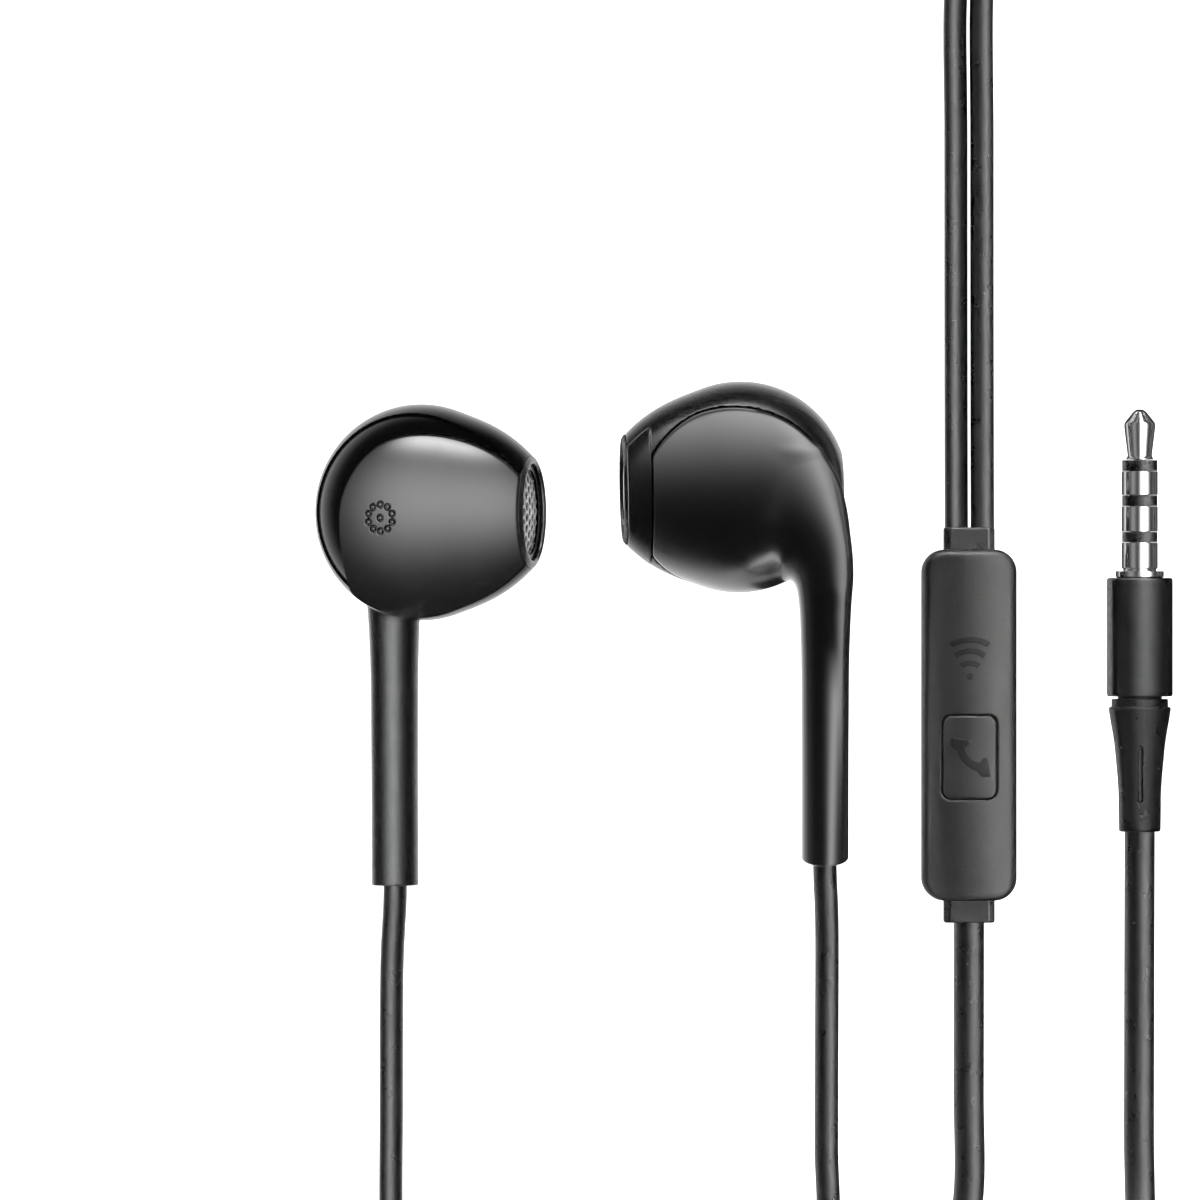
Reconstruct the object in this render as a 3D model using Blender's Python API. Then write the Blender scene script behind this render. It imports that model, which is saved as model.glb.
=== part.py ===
"""Wired earphones, laid flat: two earbuds, an in-line remote, a four-pole 3.5 mm plug and their cords.

The set lies on a table at z = 0, with the stems, the remote and the plug along Y. Sizes are in
millimetres and MM turns them into Blender's metres. An earbud is modelled in its own frame: the origin at
the middle of the head, +X out of the nozzle, +Y away from the stem, +Z on the side of the vent holes.
"""

import math

import bmesh
import bpy
from mathutils import Euler, Vector

MM = 0.001
GAP = 0.3  # clearance between pieces that touch on the real object
FAR = 30.0  # beyond any piece that a cutting body goes through

# Earbud head: round at the back, tapering to an oval nozzle
HEAD_R = 10.45
TAPER_START = 3.5
TAPER_END = 11.3
NOZZLE_R = 5.2
TAPER_SLOPE = -1.1
FRAME_FLATNESS = 0.76  # depth over height of the middle frame
SHELL_FLATNESS = 0.84  # the two outer shells stand a little prouder
WALL = 1.1
CAVITY_REACH = 4.0  # how far the hollow of the head runs out through the mouth
SPLIT_Z = 1.9  # the shells start this far from the middle plane
HEAD_SIDES = 24

# Outlines of the two shells, looked at along Z
COVER_EDGE_R = 13.8
COVER_EDGE_CENTRE = (1.53, -6.23)
COVER_FRONT = 10.0
COVER_BACK = -6.2
HOOD_EDGE_R = 9.55
HOOD_EDGE_CENTRE = (0.6, -0.2)
HOOD_FRONT = 8.75
EDGE_SIDES = 40

# Nozzle tube, trim ring and grille
TUBE_BACK = 7.6
TUBE_FRONT = 10.0
TUBE_OUTER = (5.3, 3.0)
TUBE_BORE = (3.2, 2.2)
TRIM_BACK = 10.3
TRIM_FRONT = 11.3
TRIM_BORE = (4.0, 3.2)
GRILLE = (3.7, 2.9)
GRILLE_THICKNESS = 0.35
GRILLE_PITCH = 1.5
GRILLE_HOLE_R = 0.48
GRILLE_EDGE = 0.25  # least web between a hole and the grille's edge

# Stem: height, shift toward the nozzle, depth and radius of its sections, from its end to the neck
STEM_LENGTH = 36.2
STEM_Z = -6.25
STEM_SECTIONS = (
    (-STEM_LENGTH, 0.0, STEM_Z, 2.28),
    (-22.0, 0.0, STEM_Z, 2.3),
    (-14.0, 0.0, STEM_Z, 2.38),
    (-10.0, 0.0, -6.2, 2.55),
    (-7.0, 0.1, -6.05, 2.85),
    (-4.0, 0.5, -5.6, 3.1),
    (-1.0, 1.3, -4.6, 3.4),
    (2.0, 2.4, -3.2, 3.4),
    (4.5, 3.4, -2.0, 3.0),
)
STEM_SIDES = 16
STEM_BORE_R = 1.5
BUSHING_RECESS = 0.05
BUSHING_LENGTH = 3.6
CLAMP_Y = -16.0
CLAMP_LENGTH = 3.0
PLUG_IN_STEM_R = 1.2
WIRE_HOLE_R = 0.5

# Vent flower in the cover: a ring of holes round a middle one
VENT_CENTRE = (-1.55, -0.49)
VENT_RING_R = 1.29
VENT_COUNT = 10
VENT_HOLE_R = 0.3
FELT_R = 2.0
FELT_THICKNESS = 0.5
FELT_Z = 5.6

# Driver, turned about the nozzle axis: stations along X and radii
BASKET_BACK, BASKET_PLATE, BASKET_FRONT = 4.0, 4.6, 6.9
BASKET_R, BASKET_BORE, BASKET_HOLE = 5.0, 4.5, 3.3
YOKE_BACK, YOKE_FLOOR, YOKE_FRONT = 3.2, 3.8, 5.6
YOKE_R, YOKE_BORE = 3.0, 2.5
MAGNET_BACK, MAGNET_FRONT, MAGNET_R = 4.1, 5.4, 1.75
COIL_BACK, COIL_FRONT = 4.9, 6.05
VOICE_COIL_R, VOICE_COIL_BORE = 2.27, 2.0
DIAPHRAGM_X = 6.2
DIAPHRAGM_R = 4.3
DIAPHRAGM_DOME_R = 2.2
DIAPHRAGM_HEIGHT = 0.55
DIAPHRAGM_THICKNESS = 0.15
SURROUND_HEIGHT = 0.3
DRIVER_SIDES = 16

# Where the two heads lie, how they are turned (degrees) and how far back each stem sits
LEFT_HEAD = (-23.6, 13.4, 10.0)
LEFT_TURN = (0.66, -16.0, 0.0)
LEFT_STEM_X = -4.65
RIGHT_HEAD = (7.1, 15.85, 9.015)
RIGHT_TURN = (-19.92, 183.0, 1.35)
RIGHT_STEM_X = -7.85

# Remote
REMOTE_CENTRE = (29.39, -7.16)
REMOTE_WIDTH, REMOTE_LENGTH, REMOTE_CORNER = 9.2, 34.0, 2.2
REMOTE_HEIGHT = 6.0
REMOTE_SPLIT = (2.7, 3.0)
# height and inset of the rounding of each cover
BACK_LAYERS = ((0.0, 1.2), (0.3, 0.45), (0.9, 0.0), (REMOTE_SPLIT[0], 0.0))
FRONT_LAYERS = ((REMOTE_SPLIT[1], 0.0), (4.7, 0.0), (5.45, 0.3), (5.85, 0.8), (REMOTE_HEIGHT, 1.5))
REMOTE_WALL = 0.9
REMOTE_AXIS_Z = 3.0
BUTTON_OFFSET_Y = -3.08
BUTTON_SIZE = (5.25, 8.06)
BUTTON_CORNER = 0.9
BUTTON_CLEARANCE = 0.2
BUTTON_TOP = 6.15
BUTTON_CHAMFER = 0.15
FLANGE_Z = (4.15, 4.75)
FLANGE_MARGIN = 0.6
PLUNGER_R = 0.8
PLUNGER_Z = (3.0, 3.85)
SWITCH_SIZE = 3.4
SWITCH_Z = (2.3, 3.3)
SWITCH_WELL_R, SWITCH_WELL_FLOOR = 1.0, 2.55
BOARD_SIZE = (6.6, 25.0)
BOARD_CORNER = 0.6
BOARD_Z = (1.2, 2.0)
MICROPHONE_Y = 6.5
MICROPHONE_R = 1.4
MICROPHONE_Z = (2.3, 3.4)
PORT_R = 0.5
RELIEF_SIZE = (4.95, 3.4)
RELIEF_LENGTH = 2.15
RELIEF_FLANGE = (6.5, 3.8)
RELIEF_FLANGE_LENGTH = 1.0
RELIEF_CORNER = 0.5
RELIEF_CHAMFER = 0.2
RELIEF_CLEARANCE = 0.22
PORT_SIDES = 8

# Plug, turned about an axis along Y: stations are Y
PLUG_X, PLUG_Z = 45.93, 3.2
SMALL_GAP = 0.1  # between the thin rings of the plug
TIP_END = 18.55
TIP_OUTLINE = (
    (23.4, 0.0),
    (23.4, 0.35),
    (23.2, 0.6),
    (22.05, 1.5),
    (21.8, 1.5),
    (18.85, 1.17),
    (TIP_END, 1.4),
)
INSULATORS = ((18.45, 17.5), (15.05, 14.1), (11.5, 10.6))
CONTACT_R, INSULATOR_R, CONTACT_BORE = 1.75, 1.7, 1.1
CORE_R, CORE_BORE, CORE_END = 1.0, 0.6, 4.2
PIN_R, PIN_END = 0.5, 3.6
SLEEVE_COLLAR, SLEEVE_FLANGE, SLEEVE_END = 8.0, 7.55, 3.2
SLEEVE_NECK_R, SLEEVE_FLANGE_R = 1.5, 2.33
BARREL_FRONT, BARREL_BACK = 7.1, -4.4
BARREL_R, BARREL_BORE, BARREL_CHAMFER = 3.2, 2.5, 0.25
BOOT_NECK = (-4.6, 2.8)  # start and radius of the neck behind the barrel
BOOT_SHOULDER, BOOT_END = -5.4, -17.5
BOOT_OUTLINE = ((-6.4, 2.9), (-8.6, 2.53), (-10.6, 2.33), (-12.5, 2.16), (BOOT_END, 2.02))
BOOT_SHOULDER_R = 3.05
SPIGOT_R, SPIGOT_TOP = 2.2, -2.2
CRIMP_R, CRIMP_BORE, CRIMP_TOP, CRIMP_BOTTOM = 1.7, 0.7, 2.6, -1.8
PLUG_SIDES = 20

# Cords
BRANCH_D = 2.3
MAIN_D = 2.95
CORD_GAP = 0.3
CORD_STEP = 2.9  # distance between a cord's points, in diameters
CORD_STUB = 1.0  # stretch that leaves a stem in line with it
CURVE_STEPS = 24  # short steps from one point of a route to the next
COIL_CENTRE = (36.0, -83.0)
COIL_MEAN_R = 15.45
COIL_COLUMNS, COIL_LAYERS = 3, 3
COIL_LIFT = 0.7
COIL_SIDES = 32
TIE_ANGLE = -80.0
TIE_WIDTH = 5.0
TIE_THICKNESS = 0.4


# ---------------------------------------------------------------- building helpers


def clear_scene():
    for item in list(bpy.data.objects):
        bpy.data.objects.remove(item, do_unlink=True)


def make_material(name, colour, roughness, metallic=0.0):
    material = bpy.data.materials.new(name)
    material.use_nodes = True
    shader = material.node_tree.nodes["Principled BSDF"]
    shader.inputs["Base Color"].default_value = (*colour, 1.0)
    shader.inputs["Roughness"].default_value = roughness
    shader.inputs["Metallic"].default_value = metallic
    return material


def make_empty(name, location, rotation_deg=(0.0, 0.0, 0.0), parent=None):
    empty = bpy.data.objects.new(name, None)
    bpy.context.scene.collection.objects.link(empty)
    empty.location = Vector(location) * MM
    empty.rotation_euler = Euler([math.radians(a) for a in rotation_deg])
    empty.parent = parent
    return empty


def make_object(name, bm, material=None, parent=None, location=(0.0, 0.0, 0.0)):
    """Turns a bmesh in millimetres into a named object in metres."""
    bmesh.ops.remove_doubles(bm, verts=bm.verts, dist=1e-4)
    bmesh.ops.recalc_face_normals(bm, faces=bm.faces)
    bmesh.ops.scale(bm, vec=(MM, MM, MM), verts=bm.verts)
    mesh = bpy.data.meshes.new(name)
    bm.to_mesh(mesh)
    bm.free()
    obj = bpy.data.objects.new(name, mesh)
    bpy.context.scene.collection.objects.link(obj)
    obj.location = Vector(location) * MM
    obj.parent = parent
    if material:
        mesh.materials.append(material)
    mesh.shade_smooth()
    mesh.set_sharp_from_angle(angle=math.radians(35))
    return obj


def boolean(target, tool, operation="DIFFERENCE"):
    """Cuts, joins or crosses target with tool, and removes the tool."""
    modifier = target.modifiers.new(operation, "BOOLEAN")
    modifier.operation = operation
    modifier.solver = "EXACT"
    modifier.object = tool
    depsgraph = bpy.context.evaluated_depsgraph_get()
    mesh = bpy.data.meshes.new_from_object(target.evaluated_get(depsgraph))
    target.modifiers.clear()
    old = target.data
    mesh.name = old.name
    mesh.materials.clear()
    for material in old.materials:
        mesh.materials.append(material)
    for face in mesh.polygons:
        face.material_index = 0
    target.data = mesh
    bpy.data.meshes.remove(old)
    bpy.data.objects.remove(tool, do_unlink=True)


def loft(rings):
    """A closed body through rings of points, capped at both ends."""
    bm = bmesh.new()
    rows = [[bm.verts.new(p) for p in ring] for ring in rings]
    for low, high in zip(rows, rows[1:]):
        count = len(low)
        for j in range(count):
            k = (j + 1) % count
            bm.faces.new((low[j], low[k], high[k], high[j]))
    bm.faces.new(rows[0])
    bm.faces.new(reversed(rows[-1]))
    return bm


def turned(profile, sides, closed=True):
    """A body turned about X from (x, radius) points: a closed loop, or a line from axis to axis."""
    bm = bmesh.new()
    verts = [bm.verts.new((x, r, 0.0)) for x, r in profile]
    pairs = list(zip(verts, verts[1:]))
    if closed:
        pairs.append((verts[-1], verts[0]))
    edges = [bm.edges.new(pair) for pair in pairs]
    bmesh.ops.spin(
        bm,
        geom=verts + edges,
        cent=(0, 0, 0),
        axis=(1, 0, 0),
        angle=2 * math.pi,
        steps=sides,
        use_merge=True,
    )
    return bm


def ring_profile(back, front, bore, outer):
    return ((back, bore), (front, bore), (front, outer), (back, outer))


def box(low, high):
    bm = bmesh.new()
    bmesh.ops.create_cube(bm, size=1.0)
    size = [h - l for l, h in zip(low, high)]
    bmesh.ops.scale(bm, vec=size, verts=bm.verts)
    centre = [(h + l) / 2 for l, h in zip(low, high)]
    bmesh.ops.translate(bm, vec=centre, verts=bm.verts)
    return bm


def oval_ring(x, half_y, half_z, sides):
    angles = [2 * math.pi * j / sides for j in range(sides)]
    return [(x, half_y * math.cos(a), half_z * math.sin(a)) for a in angles]


def disc_ring(centre, z, radius, sides):
    angles = [2 * math.pi * j / sides for j in range(sides)]
    return [(centre[0] + radius * math.cos(a), centre[1] + radius * math.sin(a), z) for a in angles]


def rounded_rectangle(width, length, corner, steps=4):
    """Points round a rectangle with round corners, in its own plane."""
    points = []
    for quarter, (sx, sy) in enumerate(((1, 1), (-1, 1), (-1, -1), (1, -1))):
        cx = sx * (width / 2 - corner)
        cy = sy * (length / 2 - corner)
        for step in range(steps + 1):
            a = math.pi / 2 * (quarter + step / steps)
            points.append((cx + corner * math.cos(a), cy + corner * math.sin(a)))
    return points


def rounded_slab(width, length, corner, layers, steps=4):
    """A body with a rounded outline, through (z, inset) layers."""
    rings = []
    for z, inset in layers:
        radius = max(corner - inset, 0.2)
        outline = rounded_rectangle(width - 2 * inset, length - 2 * inset, radius, steps)
        rings.append([(x, y, z) for x, y in outline])
    return loft(rings)


# ---------------------------------------------------------------- earbud shapes


def head_radius(x):
    """Half the height of the head at x: a circle, then an eased taper to the nozzle."""
    if x <= TAPER_START:
        return math.sqrt(max(HEAD_R**2 - x**2, 0.0))
    start = math.sqrt(HEAD_R**2 - TAPER_START**2)
    slope = -TAPER_START / start
    span = TAPER_END - TAPER_START
    t = (x - TAPER_START) / span
    return (
        (2 * t**3 - 3 * t**2 + 1) * start
        + (t**3 - 2 * t**2 + t) * span * slope
        + (3 * t**2 - 2 * t**3) * NOZZLE_R
        + (t**3 - t**2) * span * TAPER_SLOPE
    )


def head_stations():
    """Stations from just off the back pole to the nozzle mouth."""
    angles = [math.radians(a) for a in (14, 30, 46, 62, 78, 94)]
    back = [-HEAD_R * math.cos(a) for a in angles]
    return back + [TAPER_START, 5.5, 7.3, 8.9, 10.2, TAPER_END]


def head_body(flatness, inset=0.0, reach=0.0):
    """The egg of the head, shrunk by inset, with its nozzle run on by reach."""
    rings = []
    step = 1e-3
    for x in head_stations():
        r = head_radius(x)
        slope = (head_radius(min(x + step, TAPER_END)) - head_radius(x - step)) / (2 * step)
        length = math.hypot(1.0, slope)
        rings.append(
            oval_ring(
                x + inset * slope / length,
                r - inset / length,
                flatness * r - inset / length,
                HEAD_SIDES,
            )
        )
    if reach:
        x, half_y, half_z = rings[-1][0][0], rings[-1][0][1], rings[-1][HEAD_SIDES // 4][2]
        rings.append(oval_ring(x + reach, half_y, half_z, HEAD_SIDES))
    bm = loft(rings)
    cap = next(f for f in bm.faces if len(f.verts) == HEAD_SIDES and f.calc_center_median().x < 0)
    pole = Vector((-(HEAD_R - inset), 0.0, 0.0))
    poked = bmesh.ops.poke(bm, faces=[cap])
    poked["verts"][0].co = pole
    return bm


def stem_body(stem_x, radius=None, grow=0.0, end=None):
    """The stem and its neck into the head, or its bore at a constant radius."""
    rings = []
    for y, shift, z, r in STEM_SECTIONS:
        size = (radius or r) + grow
        low = y if y > -STEM_LENGTH else (end or y)
        rings.append(
            [
                (stem_x + shift + size * math.cos(a), low, z + size * math.sin(a))
                for a in (2 * math.pi * j / STEM_SIDES for j in range(STEM_SIDES))
            ]
        )
    return loft(rings)


def cylinder_z(centre, radius, low, high, sides=EDGE_SIDES):
    return loft([disc_ring(centre, low, radius, sides), disc_ring(centre, high, radius, sides)])


def make_outer_shell(side, stem_x, frame, material):
    shell = make_object(f"{side}_outer_shell", head_body(SHELL_FLATNESS), material)
    edge = cylinder_z(HOOD_EDGE_CENTRE, HOOD_EDGE_R, -FAR, FAR)
    boolean(shell, make_object("edge", edge), "INTERSECT")
    boolean(shell, make_object("front", box((HOOD_FRONT, -FAR, -FAR), (FAR, FAR, FAR))))
    boolean(shell, make_object("stem", stem_body(stem_x)), "UNION")
    boolean(shell, make_object("half", box((-FAR, -2 * FAR, -SPLIT_Z), (FAR, FAR, FAR))))
    boolean(shell, make_object("cavity", head_body(SHELL_FLATNESS, WALL, CAVITY_REACH)))
    bore = stem_body(stem_x, STEM_BORE_R, end=-STEM_LENGTH - CAVITY_REACH)
    boolean(shell, make_object("bore", bore))
    shell.parent = frame
    return shell


def make_nozzle_housing(side, stem_x, frame, material):
    housing = make_object(f"{side}_nozzle_housing", head_body(FRAME_FLATNESS), material)
    boolean(housing, make_object("cavity", head_body(FRAME_FLATNESS, WALL, CAVITY_REACH)))
    room = make_object("room", cylinder_z(COVER_EDGE_CENTRE, COVER_EDGE_R + GAP, SPLIT_Z - GAP, FAR))
    boolean(room, make_object("back", box((-FAR, -FAR, -FAR), (COVER_BACK - GAP, FAR, FAR))))
    boolean(housing, room)
    hood_room = make_object("hood_room", cylinder_z(HOOD_EDGE_CENTRE, HOOD_EDGE_R + GAP, -FAR, GAP - SPLIT_Z))
    boolean(hood_room, make_object("front", box((HOOD_FRONT + GAP, -FAR, -FAR), (FAR, FAR, FAR))))
    boolean(housing, hood_room)
    boolean(housing, make_object("stem_room", stem_body(stem_x, grow=GAP)))
    tube = loft([oval_ring(x, *TUBE_OUTER, HEAD_SIDES) for x in (TUBE_BACK, TRIM_FRONT)])
    boolean(housing, make_object("tube", tube), "UNION")
    bore = loft([oval_ring(x, *TUBE_BORE, HEAD_SIDES) for x in (0.0, FAR)])
    boolean(housing, make_object("bore", bore))
    boolean(housing, make_object("front", box((TUBE_FRONT, -FAR, -FAR), (FAR, FAR, FAR))))
    housing.parent = frame
    return housing


def make_inner_cover(side, frame, material):
    cover = make_object(f"{side}_inner_cover", head_body(SHELL_FLATNESS), material)
    edge = cylinder_z(COVER_EDGE_CENTRE, COVER_EDGE_R, -FAR, FAR)
    boolean(cover, make_object("edge", edge), "INTERSECT")
    boolean(cover, make_object("front", box((COVER_FRONT, -FAR, -FAR), (FAR, FAR, FAR))))
    boolean(cover, make_object("back", box((-FAR, -FAR, -FAR), (COVER_BACK, FAR, FAR))))
    boolean(cover, make_object("half", box((-FAR, -FAR, -FAR), (FAR, FAR, SPLIT_Z))))
    boolean(cover, make_object("cavity", head_body(SHELL_FLATNESS, WALL, CAVITY_REACH)))
    for x, y in [VENT_CENTRE] + vent_ring():
        boolean(cover, make_object("vent", cylinder_z((x, y), VENT_HOLE_R, 0.0, FAR, 6)))
    cover.parent = frame
    return cover


def vent_ring():
    angles = [2 * math.pi * (k + 0.5) / VENT_COUNT for k in range(VENT_COUNT)]
    cx, cy = VENT_CENTRE
    return [(cx + VENT_RING_R * math.cos(a), cy + VENT_RING_R * math.sin(a)) for a in angles]


def make_nozzle_trim(side, frame, material):
    back, front = head_radius(TRIM_BACK), head_radius(TRIM_FRONT)
    rings = [
        oval_ring(TRIM_BACK, back, SHELL_FLATNESS * back, HEAD_SIDES),
        oval_ring(TRIM_FRONT, front, SHELL_FLATNESS * front, HEAD_SIDES),
    ]
    trim = make_object(f"{side}_nozzle_trim", loft(rings), material)
    bore = loft([oval_ring(x, *TRIM_BORE, HEAD_SIDES) for x in (0.0, FAR)])
    boolean(trim, make_object("bore", bore))
    trim.parent = frame
    return trim


def grille_holes():
    """Centres of the grille's hexagonal holes that fit inside its edge."""
    margin = GRILLE_HOLE_R + GRILLE_EDGE
    holes = []
    for row in range(-2, 3):
        z = row * GRILLE_PITCH * math.sqrt(3) / 2
        for column in range(-3, 4):
            y = (column + 0.5 * (row % 2)) * GRILLE_PITCH
            inside = (y / (GRILLE[0] - margin)) ** 2 + (z / (GRILLE[1] - margin)) ** 2
            if inside <= 1.0:
                holes.append((y, z))
    return holes


def make_nozzle_grille(side, frame, material):
    front = TUBE_FRONT + GAP + GRILLE_THICKNESS
    plate = loft([oval_ring(x, *GRILLE, HEAD_SIDES) for x in (TUBE_FRONT + GAP, front)])
    grille = make_object(f"{side}_nozzle_grille", plate, material)
    for y, z in grille_holes():
        rings = []
        for x in (0.0, FAR):
            hexagon = oval_ring(x, GRILLE_HOLE_R, GRILLE_HOLE_R, 6)
            rings.append([(x, y + dy, z + dz) for _, dy, dz in hexagon])
        boolean(grille, make_object("hole", loft(rings)))
    grille.parent = frame
    return grille


def diaphragm_profile():
    """A thin dome with a half-round surround, turned about the driver's axis."""
    front = []
    for k in range(3):
        r = DIAPHRAGM_DOME_R * k / 2
        front.append((DIAPHRAGM_HEIGHT * math.cos(math.pi / 2 * k / 2), r))
    for k in (1, 2):
        r = DIAPHRAGM_DOME_R + (DIAPHRAGM_R - DIAPHRAGM_DOME_R) * k / 2
        front.append((SURROUND_HEIGHT * math.sin(math.pi * k / 2), r))
    front = [(DIAPHRAGM_X + DIAPHRAGM_THICKNESS + x, r) for x, r in front]
    back = [(x - DIAPHRAGM_THICKNESS, r) for x, r in reversed(front)]
    return front + back


def make_driver(side, frame, materials):
    axis = make_empty(f"{side}_driver_axis", (0.0, 0.0, 0.0), parent=frame)
    basket = (
        (BASKET_BACK, BASKET_HOLE),
        (BASKET_PLATE, BASKET_HOLE),
        (BASKET_PLATE, BASKET_BORE),
        (BASKET_FRONT, BASKET_BORE),
        (BASKET_FRONT, BASKET_R),
        (BASKET_BACK, BASKET_R),
    )
    yoke = (
        (YOKE_BACK, 0.0),
        (YOKE_BACK, YOKE_R),
        (YOKE_FRONT, YOKE_R),
        (YOKE_FRONT, YOKE_BORE),
        (YOKE_FLOOR, YOKE_BORE),
        (YOKE_FLOOR, 0.0),
    )
    magnet = ((MAGNET_BACK, 0.0), (MAGNET_BACK, MAGNET_R), (MAGNET_FRONT, MAGNET_R), (MAGNET_FRONT, 0.0))
    voice_coil = ring_profile(COIL_BACK, COIL_FRONT, VOICE_COIL_BORE, VOICE_COIL_R)
    pieces = (
        ("driver_basket", basket, True, "steel"),
        ("driver_yoke", yoke, False, "steel"),
        ("driver_magnet", magnet, False, "magnet"),
        ("voice_coil", voice_coil, True, "copper"),
        ("diaphragm", diaphragm_profile(), False, "film"),
    )
    for name, profile, closed, material in pieces:
        body = turned(profile, DRIVER_SIDES, closed)
        make_object(f"{side}_{name}", body, materials[material], axis)


def make_stem_pieces(side, stem_x, frame, materials):
    """The bushing at the stem's end and the clamp on the cord inside it, both turned about the stem."""
    axis = make_empty(f"{side}_stem_axis", (stem_x, 0.0, STEM_Z), (0.0, 0.0, 90.0), frame)
    low = -STEM_LENGTH + BUSHING_RECESS
    bushing = ring_profile(low, low + BUSHING_LENGTH, WIRE_HOLE_R, PLUG_IN_STEM_R)
    make_object(f"{side}_stem_bushing", turned(bushing, STEM_SIDES), materials["rubber"], axis)
    clamp = ring_profile(CLAMP_Y, CLAMP_Y + CLAMP_LENGTH, WIRE_HOLE_R, PLUG_IN_STEM_R)
    make_object(f"{side}_cord_clamp", turned(clamp, STEM_SIDES), materials["steel"], axis)


def make_vent_felt(side, frame, material):
    """A felt disc held under the vent holes, square to the cover there."""
    x, y = VENT_CENTRE
    lean = math.degrees(math.atan2(-x * SHELL_FLATNESS, math.sqrt(HEAD_R**2 - x**2)))
    seat = make_empty(f"{side}_felt_seat", (x, y, FELT_Z), (0.0, -lean, 0.0), frame)
    disc = cylinder_z((0.0, 0.0), FELT_R, 0.0, FELT_THICKNESS, 16)
    make_object(f"{side}_vent_felt", disc, material, seat)


def make_earbud(side, head, turn, stem_x, materials):
    frame = make_empty(f"{side}_earbud", head, turn)
    make_outer_shell(side, stem_x, frame, materials["gloss_black"])
    make_nozzle_housing(side, stem_x, frame, materials["gloss_black"])
    make_inner_cover(side, frame, materials["gloss_grey"])
    make_nozzle_trim(side, frame, materials["gloss_black"])
    make_nozzle_grille(side, frame, materials["steel"])
    make_driver(side, frame, materials)
    make_stem_pieces(side, stem_x, frame, materials)
    make_vent_felt(side, frame, materials["felt"])


# ---------------------------------------------------------------- remote


def relief_gap(low, high):
    """The space that both strain reliefs pass through in the ends of the covers."""
    half = RELIEF_SIZE[0] / 2 + RELIEF_CLEARANCE
    return box((-half, -FAR, low), (half, FAR, high))


def make_remote(materials):
    frame = make_empty("remote", (*REMOTE_CENTRE, 0.0))
    relief_low = REMOTE_AXIS_Z - RELIEF_SIZE[1] / 2 - RELIEF_CLEARANCE
    relief_high = REMOTE_AXIS_Z + RELIEF_SIZE[1] / 2 + RELIEF_CLEARANCE
    size = (REMOTE_WIDTH, REMOTE_LENGTH, REMOTE_CORNER)
    inner = (
        REMOTE_WIDTH - 2 * REMOTE_WALL,
        REMOTE_LENGTH - 2 * REMOTE_WALL,
        REMOTE_CORNER - REMOTE_WALL,
    )

    front = make_object("remote_front_cover", rounded_slab(*size, FRONT_LAYERS), materials["satin_grey"])
    cavity = rounded_slab(*inner, ((0.0, 0.0), (REMOTE_HEIGHT - REMOTE_WALL, 0.0)))
    boolean(front, make_object("cavity", cavity))
    slot_size = [s + 2 * BUTTON_CLEARANCE for s in BUTTON_SIZE]
    slot_layers = ((REMOTE_SPLIT[1], 0.0), (FAR, 0.0))
    slot = rounded_slab(*slot_size, BUTTON_CORNER + BUTTON_CLEARANCE, slot_layers, 3)
    bmesh.ops.translate(slot, vec=(0.0, BUTTON_OFFSET_Y, 0.0), verts=slot.verts)
    boolean(front, make_object("slot", slot))
    boolean(front, make_object("gap", relief_gap(0.0, relief_high)))
    front.parent = frame

    back = make_object("remote_back_cover", rounded_slab(*size, BACK_LAYERS), materials["satin_grey"])
    cavity = rounded_slab(*inner, ((REMOTE_WALL, 0.0), (REMOTE_HEIGHT, 0.0)))
    boolean(back, make_object("cavity", cavity))
    boolean(back, make_object("gap", relief_gap(relief_low, REMOTE_HEIGHT)))
    port = cylinder_z((0.0, MICROPHONE_Y), PORT_R, -FAR, REMOTE_AXIS_Z, PORT_SIDES)
    boolean(back, make_object("port", port))
    back.parent = frame

    board = rounded_slab(*BOARD_SIZE, BOARD_CORNER, [(z, 0.0) for z in BOARD_Z], 2)
    board = make_object("circuit_board", board, materials["board"])
    boolean(board, make_object("port", cylinder_z((0.0, MICROPHONE_Y), PORT_R, -FAR, FAR, PORT_SIDES)))
    board.parent = frame
    capsule = cylinder_z((0.0, MICROPHONE_Y), MICROPHONE_R, *MICROPHONE_Z, 16)
    make_object("microphone", capsule, materials["steel"], frame)

    for name, sign in (("remote_upper_relief", 1), ("remote_lower_relief", -1)):
        make_relief(name, sign, frame, materials["rubber"])
    make_button(frame, materials)


def make_relief(name, sign, frame, material):
    """A rubber block through the end wall, with a flange inside that keeps it in."""
    wall_out = REMOTE_LENGTH / 2
    wall_in = wall_out - REMOTE_WALL
    flange_out = wall_in - GAP
    flange_in = flange_out - RELIEF_FLANGE_LENGTH
    sections = (
        (flange_in, RELIEF_FLANGE),
        (flange_out, RELIEF_FLANGE),
        (flange_out, RELIEF_SIZE),
        (wall_out + RELIEF_LENGTH - RELIEF_CHAMFER, RELIEF_SIZE),
        (wall_out + RELIEF_LENGTH, [s - 2 * RELIEF_CHAMFER for s in RELIEF_SIZE]),
    )
    rings = []
    for y, (width, height) in sections:
        outline = rounded_rectangle(width, height, RELIEF_CORNER, 2)
        rings.append([(x, sign * y, REMOTE_AXIS_Z + z) for x, z in outline])
    make_object(name, loft(rings), material, frame)


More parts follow.
